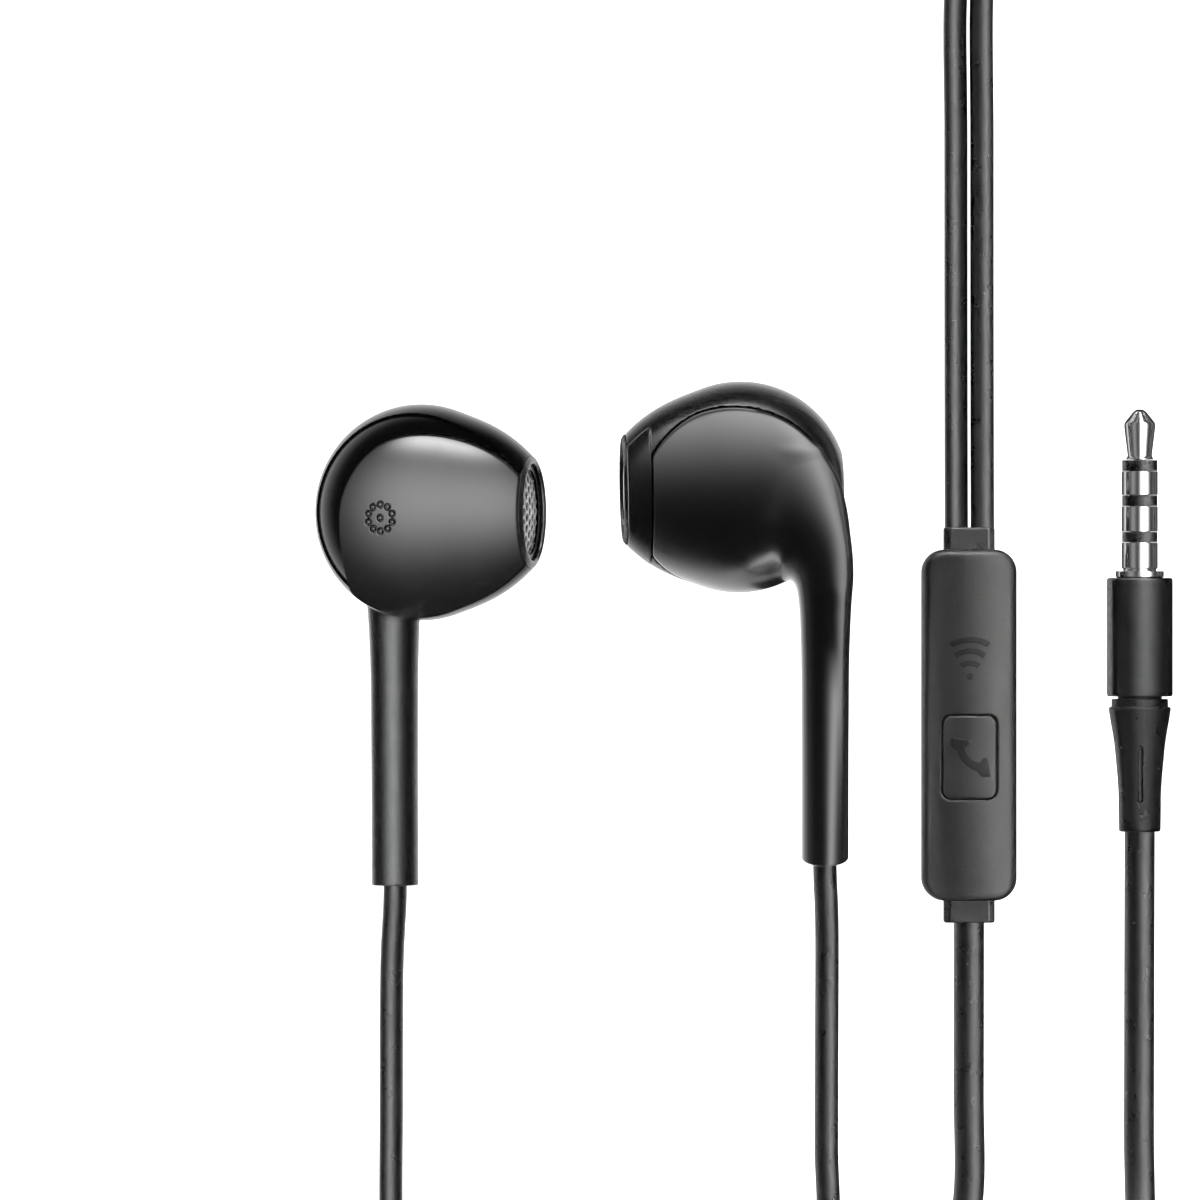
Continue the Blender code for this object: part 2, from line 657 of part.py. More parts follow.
def make_button(frame, materials):
    """The call button and the switch plunger under it, which travel along Z together."""
    axis = make_empty("button_axis", (0.0, BUTTON_OFFSET_Y, 0.0), parent=frame)
    margin = -FLANGE_MARGIN
    layers = (
        (FLANGE_Z[0], margin),
        (FLANGE_Z[1], margin),
        (FLANGE_Z[1], 0.0),
        (BUTTON_TOP - BUTTON_CHAMFER, 0.0),
        (BUTTON_TOP, BUTTON_CHAMFER),
    )
    cap = rounded_slab(*BUTTON_SIZE, BUTTON_CORNER, layers, 3)
    make_object("call_button", cap, materials["satin_grey"], axis)
    plunger = cylinder_z((0.0, 0.0), PLUNGER_R, *PLUNGER_Z, 12)
    make_object("switch_plunger", plunger, materials["rubber"], axis)

    half = SWITCH_SIZE / 2
    low = (-half, BUTTON_OFFSET_Y - half, SWITCH_Z[0])
    high = (half, BUTTON_OFFSET_Y + half, SWITCH_Z[1])
    case = make_object("switch_case", box(low, high), materials["steel"])
    well = cylinder_z((0.0, BUTTON_OFFSET_Y), SWITCH_WELL_R, SWITCH_WELL_FLOOR, FAR, 12)
    boolean(case, make_object("well", well))
    case.parent = frame


# ---------------------------------------------------------------- plug


def make_plug(materials):
    axis = make_empty("plug", (PLUG_X, 0.0, PLUG_Z), (0.0, 0.0, 90.0))
    tip = (*TIP_OUTLINE, (TIP_END, PIN_R), (PIN_END, PIN_R), (PIN_END, 0.0))
    make_object("plug_tip_contact", turned(tip, PLUG_SIDES, False), materials["chrome"], axis)
    core = ring_profile(CORE_END, TIP_END - SMALL_GAP, CORE_BORE, CORE_R)
    make_object("plug_core", turned(core, PLUG_SIDES // 2), materials["satin_black"], axis)
    for number, (front, back) in enumerate(INSULATORS, 1):
        ring = ring_profile(back, front, CONTACT_BORE, INSULATOR_R)
        make_object(f"plug_insulator_{number}", turned(ring, PLUG_SIDES), materials["satin_black"], axis)
    for number in (1, 2):
        front = INSULATORS[number - 1][1] - SMALL_GAP
        back = INSULATORS[number][0] + SMALL_GAP
        ring = ring_profile(back, front, CONTACT_BORE, CONTACT_R)
        make_object(f"plug_ring_contact_{number}", turned(ring, PLUG_SIDES), materials["chrome"], axis)
    sleeve = (
        (INSULATORS[2][1] - SMALL_GAP, CONTACT_BORE),
        (INSULATORS[2][1] - SMALL_GAP, CONTACT_R),
        (SLEEVE_COLLAR, CONTACT_R),
        (SLEEVE_COLLAR, SLEEVE_NECK_R),
        (SLEEVE_FLANGE, SLEEVE_NECK_R),
        (SLEEVE_FLANGE, SLEEVE_FLANGE_R),
        (BARREL_FRONT + SMALL_GAP, SLEEVE_FLANGE_R),
        (BARREL_FRONT + SMALL_GAP, SPIGOT_R),
        (SLEEVE_END, SPIGOT_R),
        (SLEEVE_END, CONTACT_BORE),
    )
    make_object("plug_sleeve_contact", turned(sleeve, PLUG_SIDES), materials["chrome"], axis)
    barrel = (
        (BARREL_FRONT, BARREL_BORE),
        (BARREL_FRONT, BARREL_R - BARREL_CHAMFER),
        (BARREL_FRONT - BARREL_CHAMFER, BARREL_R),
        (BARREL_BACK + BARREL_CHAMFER, BARREL_R),
        (BARREL_BACK, BARREL_R - BARREL_CHAMFER),
        (BARREL_BACK, BARREL_BORE),
    )
    make_object("plug_barrel", turned(barrel, PLUG_SIDES), materials["gloss_black"], axis)
    boot = (
        (SPIGOT_TOP, WIRE_HOLE_R),
        (SPIGOT_TOP, SPIGOT_R),
        (BOOT_NECK[0], SPIGOT_R),
        BOOT_NECK,
        (BOOT_SHOULDER, BOOT_NECK[1]),
        (BOOT_SHOULDER, BOOT_SHOULDER_R),
        *BOOT_OUTLINE,
        (BOOT_END, WIRE_HOLE_R),
    )
    make_object("plug_boot", turned(boot, PLUG_SIDES), materials["rubber"], axis)
    crimp = ring_profile(CRIMP_BOTTOM, CRIMP_TOP, CRIMP_BORE, CRIMP_R)
    make_object("plug_crimp", turned(crimp, PLUG_SIDES // 2), materials["steel"], axis)


# ---------------------------------------------------------------- cords


def smooth_route(points, spacing):
    """Points at an even spacing along a Catmull-Rom curve through the route's own points."""
    anchors = [Vector(p) for p in points]
    ends = [2 * anchors[0] - anchors[1], *anchors, 2 * anchors[-1] - anchors[-2]]
    fine = []
    for a, b, c, d in zip(ends, ends[1:], ends[2:], ends[3:]):
        for step in range(CURVE_STEPS):
            t = step / CURVE_STEPS
            square, cube = 2 * a - 5 * b + 4 * c - d, 3 * b - a - 3 * c + d
            fine.append(0.5 * (2 * b + (c - a) * t + square * t**2 + cube * t**3))
    fine.append(anchors[-1])
    lengths = [0.0]
    for a, b in zip(fine, fine[1:]):
        lengths.append(lengths[-1] + (b - a).length)
    count = max(2, round(lengths[-1] / spacing) + 1)
    result = []
    k = 0
    for i in range(count):
        target = lengths[-1] * i / (count - 1)
        while k < len(lengths) - 2 and lengths[k + 1] < target:
            k += 1
        part = (target - lengths[k]) / (lengths[k + 1] - lengths[k])
        result.append(fine[k].lerp(fine[k + 1], part))
    return result


def make_cord(name, route, diameter, material):
    points = smooth_route(route, CORD_STEP * diameter)
    curve = bpy.data.curves.new(name, "CURVE")
    curve.dimensions = "3D"
    curve.bevel_depth = diameter / 2 * MM
    curve.bevel_resolution = 2
    curve.render_resolution_u = 0
    curve.use_fill_caps = True
    spline = curve.splines.new("POLY")
    spline.points.add(len(points) - 1)
    for slot, point in zip(spline.points, points):
        slot.co = (*(point * MM), 1.0)
    curve.materials.append(material)
    obj = bpy.data.objects.new(name, curve)
    bpy.context.scene.collection.objects.link(obj)
    return obj


def stem_exits(frame_name, stem_x):
    """Two world points, in millimetres, just past the end of an earbud's stem and in line with it."""
    frame = bpy.data.objects[frame_name]
    bpy.context.view_layer.update()
    ends = (-STEM_LENGTH - CORD_GAP, -STEM_LENGTH - CORD_GAP - CORD_STUB)
    return [frame.matrix_world @ (Vector((stem_x, y, STEM_Z)) * MM) / MM for y in ends]


LEFT_ROUTE = (
    (-26.55, -31.0, 1.45),
    (-26.6, -44.0, 1.25),
    (-26.6, -57.0, 1.2),
    (-26.0, -74.0, 1.2),
    (-19.0, -97.0, 1.2),
    (0.0, -109.5, 1.2),
    (24.0, -112.0, 1.2),
    (47.0, -109.5, 1.2),
    (61.0, -95.0, 1.2),
    (63.4, -68.0, 1.2),
    (62.0, -30.0, 1.2),
    (62.3, 10.0, 1.2),
    (62.1, 48.0, 1.2),
    (62.1, 64.0, 1.2),
    (57.1, 76.0, 1.2),
    (45.1, 81.0, 1.2),
    (33.1, 76.0, 1.2),
    (29.45, 70.5, 1.2),
    (28.16, 64.0, 1.2),
    (28.16, 50.0, 1.2),
    (28.16, 36.0, 1.3),
    (28.16, 20.0, 2.1),
)
RIGHT_ROUTE = (
    (15.65, -27.0, 1.4),
    (15.63, -38.0, 1.25),
    (15.6, -48.0, 1.2),
    (15.6, -57.0, 1.2),
    (13.0, -65.5, 1.2),
    (3.5, -70.5, 1.2),
    (-9.0, -72.5, 1.2),
    (-19.0, -80.5, 1.2),
    (-16.0, -94.0, 1.2),
    (4.0, -103.5, 1.2),
    (30.0, -107.0, 1.2),
    (50.0, -103.5, 1.2),
    (58.2, -90.0, 1.2),
    (58.6, -68.0, 1.2),
    (57.4, -30.0, 1.2),
    (57.9, 10.0, 1.2),
    (57.7, 48.0, 1.2),
    (57.7, 64.0, 1.2),
    (53.7, 73.5, 1.2),
    (44.2, 77.5, 1.2),
    (34.7, 73.5, 1.2),
    (31.72, 69.2, 1.2),
    (30.69, 64.0, 1.2),
    (30.69, 50.0, 1.2),
    (30.69, 36.0, 1.3),
    (30.69, 20.0, 2.1),
)
MAIN_UPPER_ROUTE = (
    (29.4, -33.0, 2.2),
    (29.4, -43.0, 1.6),
    (29.35, -53.0, 1.55),
    (27.6, -60.0, 1.7),
    (24.5, -64.8, 1.95),
    (20.4, -68.0, 2.2),
)
MAIN_LOWER_ROUTE = (
    (51.5, -67.7, 7.2),
    (48.5, -62.8, 5.8),
    (46.35, -56.8, 3.8),
    (45.93, -50.0, 2.1),
    (45.93, -37.0, 1.6),
    (45.93, -26.0, 2.3),
)


def make_cords(materials):
    half_length = REMOTE_LENGTH / 2 + RELIEF_LENGTH + CORD_GAP
    remote_top = REMOTE_CENTRE[1] + half_length
    remote_bottom = REMOTE_CENTRE[1] - half_length
    left_start = stem_exits("left_earbud", LEFT_STEM_X)
    right_start = stem_exits("right_earbud", RIGHT_STEM_X)
    left_end = (LEFT_ROUTE[-1][0], remote_top, REMOTE_AXIS_Z)
    right_end = (RIGHT_ROUTE[-1][0], remote_top, REMOTE_AXIS_Z)
    main_start = (REMOTE_CENTRE[0], remote_bottom, REMOTE_AXIS_Z)
    plug_end = (PLUG_X, BOOT_END - CORD_GAP, PLUG_Z)
    rubber = materials["rubber"]
    make_cord("left_branch_cord", (*left_start, *LEFT_ROUTE, left_end), BRANCH_D, rubber)
    make_cord("right_branch_cord", (*right_start, *RIGHT_ROUTE, right_end), BRANCH_D, rubber)
    make_cord("main_cord_upper", (main_start, *MAIN_UPPER_ROUTE), MAIN_D, rubber)
    make_cord("main_cord_lower", (*MAIN_LOWER_ROUTE, plug_end), MAIN_D, rubber)

    inner = COIL_MEAN_R - COIL_COLUMNS * MAIN_D / 2
    outer = COIL_MEAN_R + COIL_COLUMNS * MAIN_D / 2
    height = COIL_LAYERS * MAIN_D
    centre = make_empty("coil_axis", (*COIL_CENTRE, COIL_LIFT), (0.0, -90.0, 0.0))
    profile = ring_profile(0.0, height, inner, outer)
    make_object("main_cord_coil", turned(profile, COIL_SIDES), rubber, centre)

    around = make_empty("tie_frame", (*COIL_CENTRE, 0.0), (0.0, 0.0, TIE_ANGLE))
    curve_in = inner - math.sqrt(inner**2 - TIE_WIDTH**2 / 4)  # of the ring's bore across the strap
    low = (inner - curve_in - GAP, -TIE_WIDTH / 2, COIL_LIFT - GAP)
    high = (outer + GAP, TIE_WIDTH / 2, COIL_LIFT + height + GAP)
    skin = TIE_THICKNESS
    body = box((low[0] - skin, low[1], low[2] - skin), (high[0] + skin, high[1], high[2] + skin))
    tie = make_object("coil_tie", body, rubber)
    boolean(tie, make_object("room", box((low[0], -FAR, low[2]), (high[0], FAR, high[2]))))
    tie.parent = around


def make_materials():
    return {
        "gloss_black": make_material("gloss_black", (0.012, 0.012, 0.013), 0.18),
        "gloss_grey": make_material("gloss_grey", (0.035, 0.035, 0.036), 0.25),
        "satin_grey": make_material("satin_grey", (0.045, 0.045, 0.046), 0.45),
        "satin_black": make_material("satin_black", (0.012, 0.012, 0.012), 0.4),
        "rubber": make_material("rubber", (0.022, 0.022, 0.023), 0.45),
        "chrome": make_material("chrome", (0.75, 0.75, 0.74), 0.12, 1.0),
        "steel": make_material("steel", (0.35, 0.35, 0.35), 0.35, 1.0),
        "magnet": make_material("magnet", (0.25, 0.25, 0.26), 0.4, 1.0),
        "copper": make_material("copper", (0.72, 0.32, 0.16), 0.35, 1.0),
        "film": make_material("film", (0.5, 0.42, 0.3), 0.35),
        "felt": make_material("felt", (0.06, 0.06, 0.06), 0.95),
        "board": make_material("board", (0.02, 0.12, 0.05), 0.4),
    }


def main():
    clear_scene()
    materials = make_materials()
    make_earbud("left", LEFT_HEAD, LEFT_TURN, LEFT_STEM_X, materials)
    make_earbud("right", RIGHT_HEAD, RIGHT_TURN, RIGHT_STEM_X, materials)
    make_remote(materials)
    make_plug(materials)
    make_cords(materials)


main()
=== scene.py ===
"""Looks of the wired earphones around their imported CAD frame.

Shapes are worked out in millimetres and turned into metres by MM. An earbud's own frame has its origin in
the middle of the head, +X out of the nozzle, +Y away from the stem and +Z on the side of the vent holes.
"""

import math

import bmesh
import bpy
import numpy as np
from mathutils import Euler, Matrix, Vector


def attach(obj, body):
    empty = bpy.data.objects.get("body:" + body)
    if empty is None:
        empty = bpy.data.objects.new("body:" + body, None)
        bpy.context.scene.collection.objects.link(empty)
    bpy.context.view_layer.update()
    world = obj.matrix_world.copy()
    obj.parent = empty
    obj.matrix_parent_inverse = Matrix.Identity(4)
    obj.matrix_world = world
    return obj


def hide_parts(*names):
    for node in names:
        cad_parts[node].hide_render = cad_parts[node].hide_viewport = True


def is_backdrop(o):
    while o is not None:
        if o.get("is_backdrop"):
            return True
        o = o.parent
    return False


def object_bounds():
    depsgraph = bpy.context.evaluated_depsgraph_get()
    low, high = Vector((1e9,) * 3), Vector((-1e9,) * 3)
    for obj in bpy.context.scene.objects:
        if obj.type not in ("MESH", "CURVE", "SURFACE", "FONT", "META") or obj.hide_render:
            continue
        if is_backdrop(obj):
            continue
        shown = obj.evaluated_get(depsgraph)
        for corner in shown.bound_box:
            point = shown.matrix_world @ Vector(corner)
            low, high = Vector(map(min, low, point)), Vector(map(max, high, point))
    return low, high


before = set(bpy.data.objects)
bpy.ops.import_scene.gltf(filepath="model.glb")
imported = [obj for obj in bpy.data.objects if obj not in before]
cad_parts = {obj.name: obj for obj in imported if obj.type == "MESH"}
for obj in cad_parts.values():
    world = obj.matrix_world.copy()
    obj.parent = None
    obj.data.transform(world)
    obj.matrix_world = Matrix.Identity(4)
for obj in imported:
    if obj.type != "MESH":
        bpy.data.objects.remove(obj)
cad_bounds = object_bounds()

MM = 0.001
ROOT = "earphones"
BUTTON_BODY = "call_button_group"

# ------------------------------------------------------------------ sizes, as in the CAD

HEAD_R = 10.45
TAPER_START, TAPER_END = 3.5, 11.3
NOZZLE_R = 5.2
TAPER_SLOPE = -1.1
FRAME_FLATNESS, SHELL_FLATNESS = 0.76, 0.84
WALL = 1.1
SPLIT_Z = 1.9
COVER_EDGE_R, COVER_EDGE_CENTRE = 13.8, (1.53, -6.23)
COVER_FRONT, COVER_BACK = 11.0, -6.2
HOOD_EDGE_R, HOOD_EDGE_CENTRE, HOOD_FRONT = 9.55, (0.6, -0.2), 8.75
TUBE_BACK, TUBE_FRONT = 7.6, 10.0
TUBE_OUTER, TUBE_BORE = (5.3, 3.0), (3.2, 2.2)
TRIM_BACK, TRIM_FRONT, TRIM_BORE = 11.0, 11.45, (4.6, 3.75)
GRILLE = (4.5, 3.65)
STEM_LENGTH, STEM_Z, STEM_BORE_R = 36.2, -6.25, 1.5
STEM_SECTIONS = (
    (-STEM_LENGTH, 0.0, STEM_Z, 2.28),
    (-22.0, 0.0, STEM_Z, 2.3),
    (-14.0, 0.0, STEM_Z, 2.38),
    (-10.0, 0.0, -6.2, 2.55),
    (-7.0, 0.1, -6.05, 2.85),
    (-4.0, 0.5, -5.6, 3.1),
    (-1.0, 1.3, -4.6, 3.4),
    (2.0, 2.4, -3.2, 3.4),
    (4.5, 3.4, -2.0, 3.0),
)
VENT_CENTRE, VENT_RING_R, VENT_COUNT = (-1.55, -0.49), 1.29, 10
EARBUDS = {
    "left": ((-23.6, 13.4, 10.0), (0.66, -16.0, 0.0), -4.65),
    "right": ((7.1, 15.85, 9.015), (-19.92, 183.0, 1.35), -7.85),
}

REMOTE_CENTRE = (29.39, -7.16)
REMOTE_SIZE, REMOTE_CORNER, REMOTE_WALL = (9.2, 34.0), 2.2, 0.9
REMOTE_TOP, REMOTE_AXIS_Z = 6.0, 3.0
BUTTON_Y, BUTTON_SIZE, BUTTON_CORNER = -3.08, (5.25, 8.06), 0.9
RELIEF_SIZE, RELIEF_LENGTH = (4.95, 3.4), 2.15

PLUG_X, PLUG_Z = 45.93, 3.2
BOOT_END = -17.5

BRANCH_D, MAIN_D = 2.3, 2.95
COIL_CENTRE, COIL_MEAN_R, COIL_LIFT = (36.0, -83.0), 15.45, 0.7
TIE_ANGLE, TIE_WIDTH = -80.0, 5.0


def earbud_matrix(side):
    head, turn, _ = EARBUDS[side]
    rotation = Euler([math.radians(a) for a in turn]).to_matrix().to_4x4()
    return Matrix.Translation(Vector(head) * MM) @ rotation


# ------------------------------------------------------------------ camera

VIEW_CENTRE = (-6.36, 4.95)
VIEW_WIDTH = 116.5
CAMERA_HEIGHT = 1500.0
SENSOR = 36.0


def make_camera():
    data = bpy.data.cameras.new("camera")
    data.sensor_width = SENSOR
    data.lens = SENSOR * CAMERA_HEIGHT / VIEW_WIDTH
    data.clip_start = 0.01
    data.clip_end = 50.0
    camera = bpy.data.objects.new("camera", data)
    bpy.context.scene.collection.objects.link(camera)
    camera.location = Vector((*VIEW_CENTRE, CAMERA_HEIGHT)) * MM
    bpy.context.scene.camera = camera


make_camera()

# ------------------------------------------------------------------ materials


class Nodes:
    """A material's node tree, built one node at a time."""

    def __init__(self, name):
        self.material = bpy.data.materials.new(name)
        self.material.use_nodes = True
        self.tree = self.material.node_tree
        self.shader = self.tree.nodes["Principled BSDF"]

    def add(self, kind, inputs=(), **settings):
        node = self.tree.nodes.new(kind)
        for key, value in settings.items():
            setattr(node, key, value)
        for key, value in dict(inputs).items():
            self.feed(node.inputs[key], value)
        return node

    def feed(self, socket, value):
        if isinstance(value, bpy.types.NodeSocket):
            self.tree.links.new(value, socket)
        else:
            socket.default_value = value

    def math(self, operation, *values):
        node = self.add("ShaderNodeMath", dict(enumerate(values)), operation=operation)
        return node.outputs[0]

    def noise(self, scale, detail=3.0, roughness=0.5):
        place = self.add("ShaderNodeTexCoord").outputs["Object"]
        inputs = {"Vector": place, "Scale": scale, "Detail": detail, "Roughness": roughness}
        return self.add("ShaderNodeTexNoise", inputs).outputs["Fac"]

    def spread(self, value, low, high, source=(0.3, 0.7)):
        inputs = {"Value": value, 1: source[0], 2: source[1], 3: low, 4: high}
        return self.add("ShaderNodeMapRange", inputs).outputs["Result"]

    def blend(self, factor, low, high):
        node = self.add("ShaderNodeMix", data_type="RGBA")
        self.feed(node.inputs[0], factor)
        for socket, value in ((node.inputs[6], low), (node.inputs[7], high)):
            self.feed(socket, value if isinstance(value, bpy.types.NodeSocket) else (*value, 1.0))
        return node.outputs[2]

    def edge_wear(self):
        """1 on edges that stand out, where hands polish and scuff a finish."""
        sharp = self.add("ShaderNodeNewGeometry").outputs["Pointiness"]
        worn = self.spread(sharp, 0.0, 1.0, (0.52, 0.62))
        return self.math("MULTIPLY", worn, self.spread(self.noise(900.0), 0.2, 1.0))


def tint(colour, factor):
    return tuple(min(1.0, c * factor) for c in colour)


def make_finish(name, colour, roughness, **more):
    """A moulded or metal finish: mottled colour, uneven gloss, fine grain, and paler worn edges."""
    look = {
        "metallic": 0.0,
        "specular": 0.5,
        "coat": 0.0,
        "grain": 6000.0,
        "grain_depth": 0.02,
        "mottle": 0.12,
        "wear": 1.5,
        "uneven": 0.15,
    } | more
    nodes = Nodes(name)
    cloud = nodes.noise(260.0, 4.0)
    shade = nodes.blend(
        nodes.spread(cloud, 0.0, 1.0), tint(colour, 1 - look["mottle"]), tint(colour, 1 + look["mottle"])
    )
    worn = nodes.blend(nodes.edge_wear(), shade, tint(colour, look["wear"]))
    nodes.feed(nodes.shader.inputs["Base Color"], worn)
    smear = nodes.noise(700.0, 5.0, 0.6)
    low, high = roughness * (1 - look["uneven"]), roughness * (1 + look["uneven"])
    nodes.feed(nodes.shader.inputs["Roughness"], nodes.spread(smear, low, high))
    bump = nodes.add(
        "ShaderNodeBump",
        {"Height": nodes.noise(look["grain"], 2.0), "Strength": look["grain_depth"], "Distance": 0.0001},
    )
    nodes.feed(nodes.shader.inputs["Normal"], bump.outputs["Normal"])
    nodes.shader.inputs["Metallic"].default_value = look["metallic"]
    nodes.shader.inputs["Specular IOR Level"].default_value = look["specular"]
    nodes.shader.inputs["Coat Weight"].default_value = look["coat"]
    nodes.shader.inputs["Coat Roughness"].default_value = 0.08
    return nodes.material


FINISHES = {
    "gloss_black": make_finish("gloss_black", (0.004, 0.0042, 0.0043), 0.2, specular=0.55),
    "gloss_grey": make_finish("gloss_grey", (0.006, 0.0062, 0.0062), 0.18, specular=0.6),
    "satin_grey": make_finish("satin_grey", (0.006, 0.006, 0.006), 0.34, grain_depth=0.12, specular=0.4),
    "satin_black": make_finish("satin_black", (0.004, 0.004, 0.004), 0.3),
    "rubber": make_finish("rubber", (0.005, 0.005, 0.005), 0.3, grain_depth=0.1, grain=4000.0),
    "chrome": make_finish("chrome", (0.78, 0.78, 0.77), 0.1, metallic=1.0, wear=1.1, mottle=0.03),
    "steel": make_finish("steel", (0.32, 0.32, 0.32), 0.32, metallic=1.0, grain_depth=0.1),
    "magnet": make_finish("magnet", (0.25, 0.25, 0.26), 0.4, metallic=1.0, grain_depth=0.1),
    "copper": make_finish("copper", (0.72, 0.32, 0.16), 0.35, metallic=1.0, grain_depth=0.1),
    "film": make_finish("film", (0.5, 0.42, 0.3), 0.35, coat=0.3),
    "felt": make_finish("felt", (0.05, 0.05, 0.05), 0.95, grain=9000.0, grain_depth=0.8, mottle=0.4),
    "board": make_finish("board", (0.02, 0.12, 0.05), 0.4, coat=0.4),
    "soft_rubber": make_finish("soft_rubber", (0.005, 0.005, 0.005), 0.3, grain_depth=0.1, specular=0.28),
    "ink": make_finish("ink", (0.003, 0.003, 0.003), 0.4, specular=0.22),
}

# ------------------------------------------------------------------ pieces


def settle(obj, node, slot, body=ROOT, finish=None):
    """Gives a piece its finish, by slot unless finish is given, hangs it on its body and hides the CAD nodes it
    stands for.
    """
    obj.data.materials.clear()
    obj.data.materials.append(FINISHES[finish or slot])
    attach(obj, body)
    if node:
        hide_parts(*([node] if isinstance(node, str) else node))
    return obj


def make_piece(name, points, faces, matrix, normals=None):
    """A mesh object from points in millimetres in the frame of matrix."""
    mesh = bpy.data.meshes.new(name)
    points = np.asarray(points, float) * MM
    mesh.vertices.add(len(points))
    mesh.vertices.foreach_set("co", points.ravel())
    corners = np.asarray(faces, np.int32)
    mesh.loops.add(corners.size)
    mesh.loops.foreach_set("vertex_index", corners.ravel())
    mesh.polygons.add(len(corners))
    mesh.polygons.foreach_set("loop_start", np.arange(0, corners.size, corners.shape[1], dtype=np.int32))
    mesh.update(calc_edges=True)
    mesh.shade_smooth()
    if normals is not None:
        mesh.normals_split_custom_set_from_vertices(normals)
    obj = bpy.data.objects.new(name, mesh)
    bpy.context.scene.collection.objects.link(obj)
    obj.matrix_world = matrix
    return obj


# ------------------------------------------------------------------ surfaces of fields

# A field is a function of x, y and z in millimetres, below zero inside a shape and near to a distance.


def smooth_min(a, b, size):
    h = np.maximum(size - np.abs(a - b), 0.0) / size
    return np.minimum(a, b) - h * h * size / 4


def smooth_max(size, *fields):
    result = fields[0]
    for other in fields[1:]:
        result = -smooth_min(-result, -other, size)
    return result


def slopes(field, points, reach=0.015):
    columns = []
    for axis in range(3):
        offset = np.zeros(3)
        offset[axis] = reach
        columns.append((field(*(points + offset).T) - field(*(points - offset).T)) / (2 * reach))
    return np.stack(columns, axis=1)


def field_values(field, axes):
    values = np.empty([len(a) for a in axes], np.float32)
    y, z = np.meshgrid(axes[1], axes[2], indexing="ij")
    for i, x in enumerate(axes[0]):
        values[i] = field(np.full_like(y, x), y, z)
    return values


def cell_points(values, cells):
    """The mean of the places where the surface crosses each cell's edges, in grid steps."""
    total = np.zeros((len(cells), 3))
    hits = np.zeros(len(cells))
    for axis in range(3):
        for shift in range(4):
            start = np.zeros(3, int)
            start[(axis + 1) % 3] = shift % 2
            start[(axis + 2) % 3] = shift // 2
            end = start.copy()
            end[axis] = 1
            low = values[tuple((cells + start).T)].astype(float)
            high = values[tuple((cells + end).T)].astype(float)
            crossed = (low < 0) != (high < 0)
            share = np.where(crossed, low / np.where(crossed, low - high, 1.0), 0.0)
            place = (cells + start).astype(float)
            place[:, axis] += share
            total += place * crossed[:, None]
            hits += crossed
    return total / hits[:, None]


def cell_faces(inside, numbers):
    """One quad round each grid edge that the surface crosses, facing outwards."""
    faces = []
    for axis in range(3):
        moved = np.moveaxis(inside, (axis, (axis + 1) % 3, (axis + 2) % 3), (0, 1, 2))
        number = np.moveaxis(numbers, (axis, (axis + 1) % 3, (axis + 2) % 3), (0, 1, 2))
        crossed = moved[:-1, 1:-1, 1:-1] != moved[1:, 1:-1, 1:-1]
        i, j, k = np.nonzero(crossed)
        quad = np.stack([number[i, j, k], number[i, j + 1, k], number[i, j + 1, k + 1], number[i, j, k + 1]], 1)
        leaving = moved[i, j + 1, k + 1]
        faces.append(np.where(leaving[:, None], quad, quad[:, ::-1]))
    return np.concatenate(faces)


def mesh_field(field, low, high, step):
    """Points, quads and normals on the surface of a field, in millimetres."""
    axes = [np.arange(a, b + step, step) for a, b in zip(low, high)]
    values = field_values(field, axes)
    inside = values < 0
    count = np.zeros([n - 1 for n in inside.shape], np.uint8)
    for corner in range(8):
        x, y, z = corner & 1, corner >> 1 & 1, corner >> 2
        count += inside[x : x - 1 or None, y : y - 1 or None, z : z - 1 or None]
    mixed = (count > 0) & (count < 8)
    cells = np.argwhere(mixed)
    numbers = np.full(count.shape, -1, np.int64)
    numbers[mixed] = np.arange(len(cells))
    points = np.array(low) + step * cell_points(values, cells)
    for _ in range(3):
        slope = slopes(field, points)
        length = np.sum(slope**2, axis=1)
        move = np.clip(field(*points.T) / np.maximum(length, 0.05), -step / 2, step / 2)
        points -= move[:, None] * slope
    slope = slopes(field, points)
    normals = slope / np.maximum(np.linalg.norm(slope, axis=1), 1e-9)[:, None]
    return points, cell_faces(inside, numbers), normals


def field_piece(name, field, low, high, step, matrix):
    points, faces, normals = mesh_field(field, low, high, step)
    return make_piece(name, points, faces, matrix, normals)


# ------------------------------------------------------------------ turned pieces


def rounded_profile(profile, radius, closed):
    """The profile with each corner cut back and eased by up to radius."""
    points = [Vector(p) for p in profile]
    count = len(points)
    result = []
    for i, point in enumerate(points):
        if not closed and i in (0, count - 1):
            result.append(point)
            continue
        before, after = points[i - 1], points[(i + 1) % count]
        cut_in = min(radius, 0.45 * (before - point).length)
        cut_out = min(radius, 0.45 * (after - point).length)
        start = point.lerp(before, cut_in / (before - point).length)
        end = point.lerp(after, cut_out / (after - point).length)
        for t in (0.0, 0.25, 0.5, 0.75, 1.0):
            result.append(start.lerp(point, t).lerp(point.lerp(end, t), t))
    return result


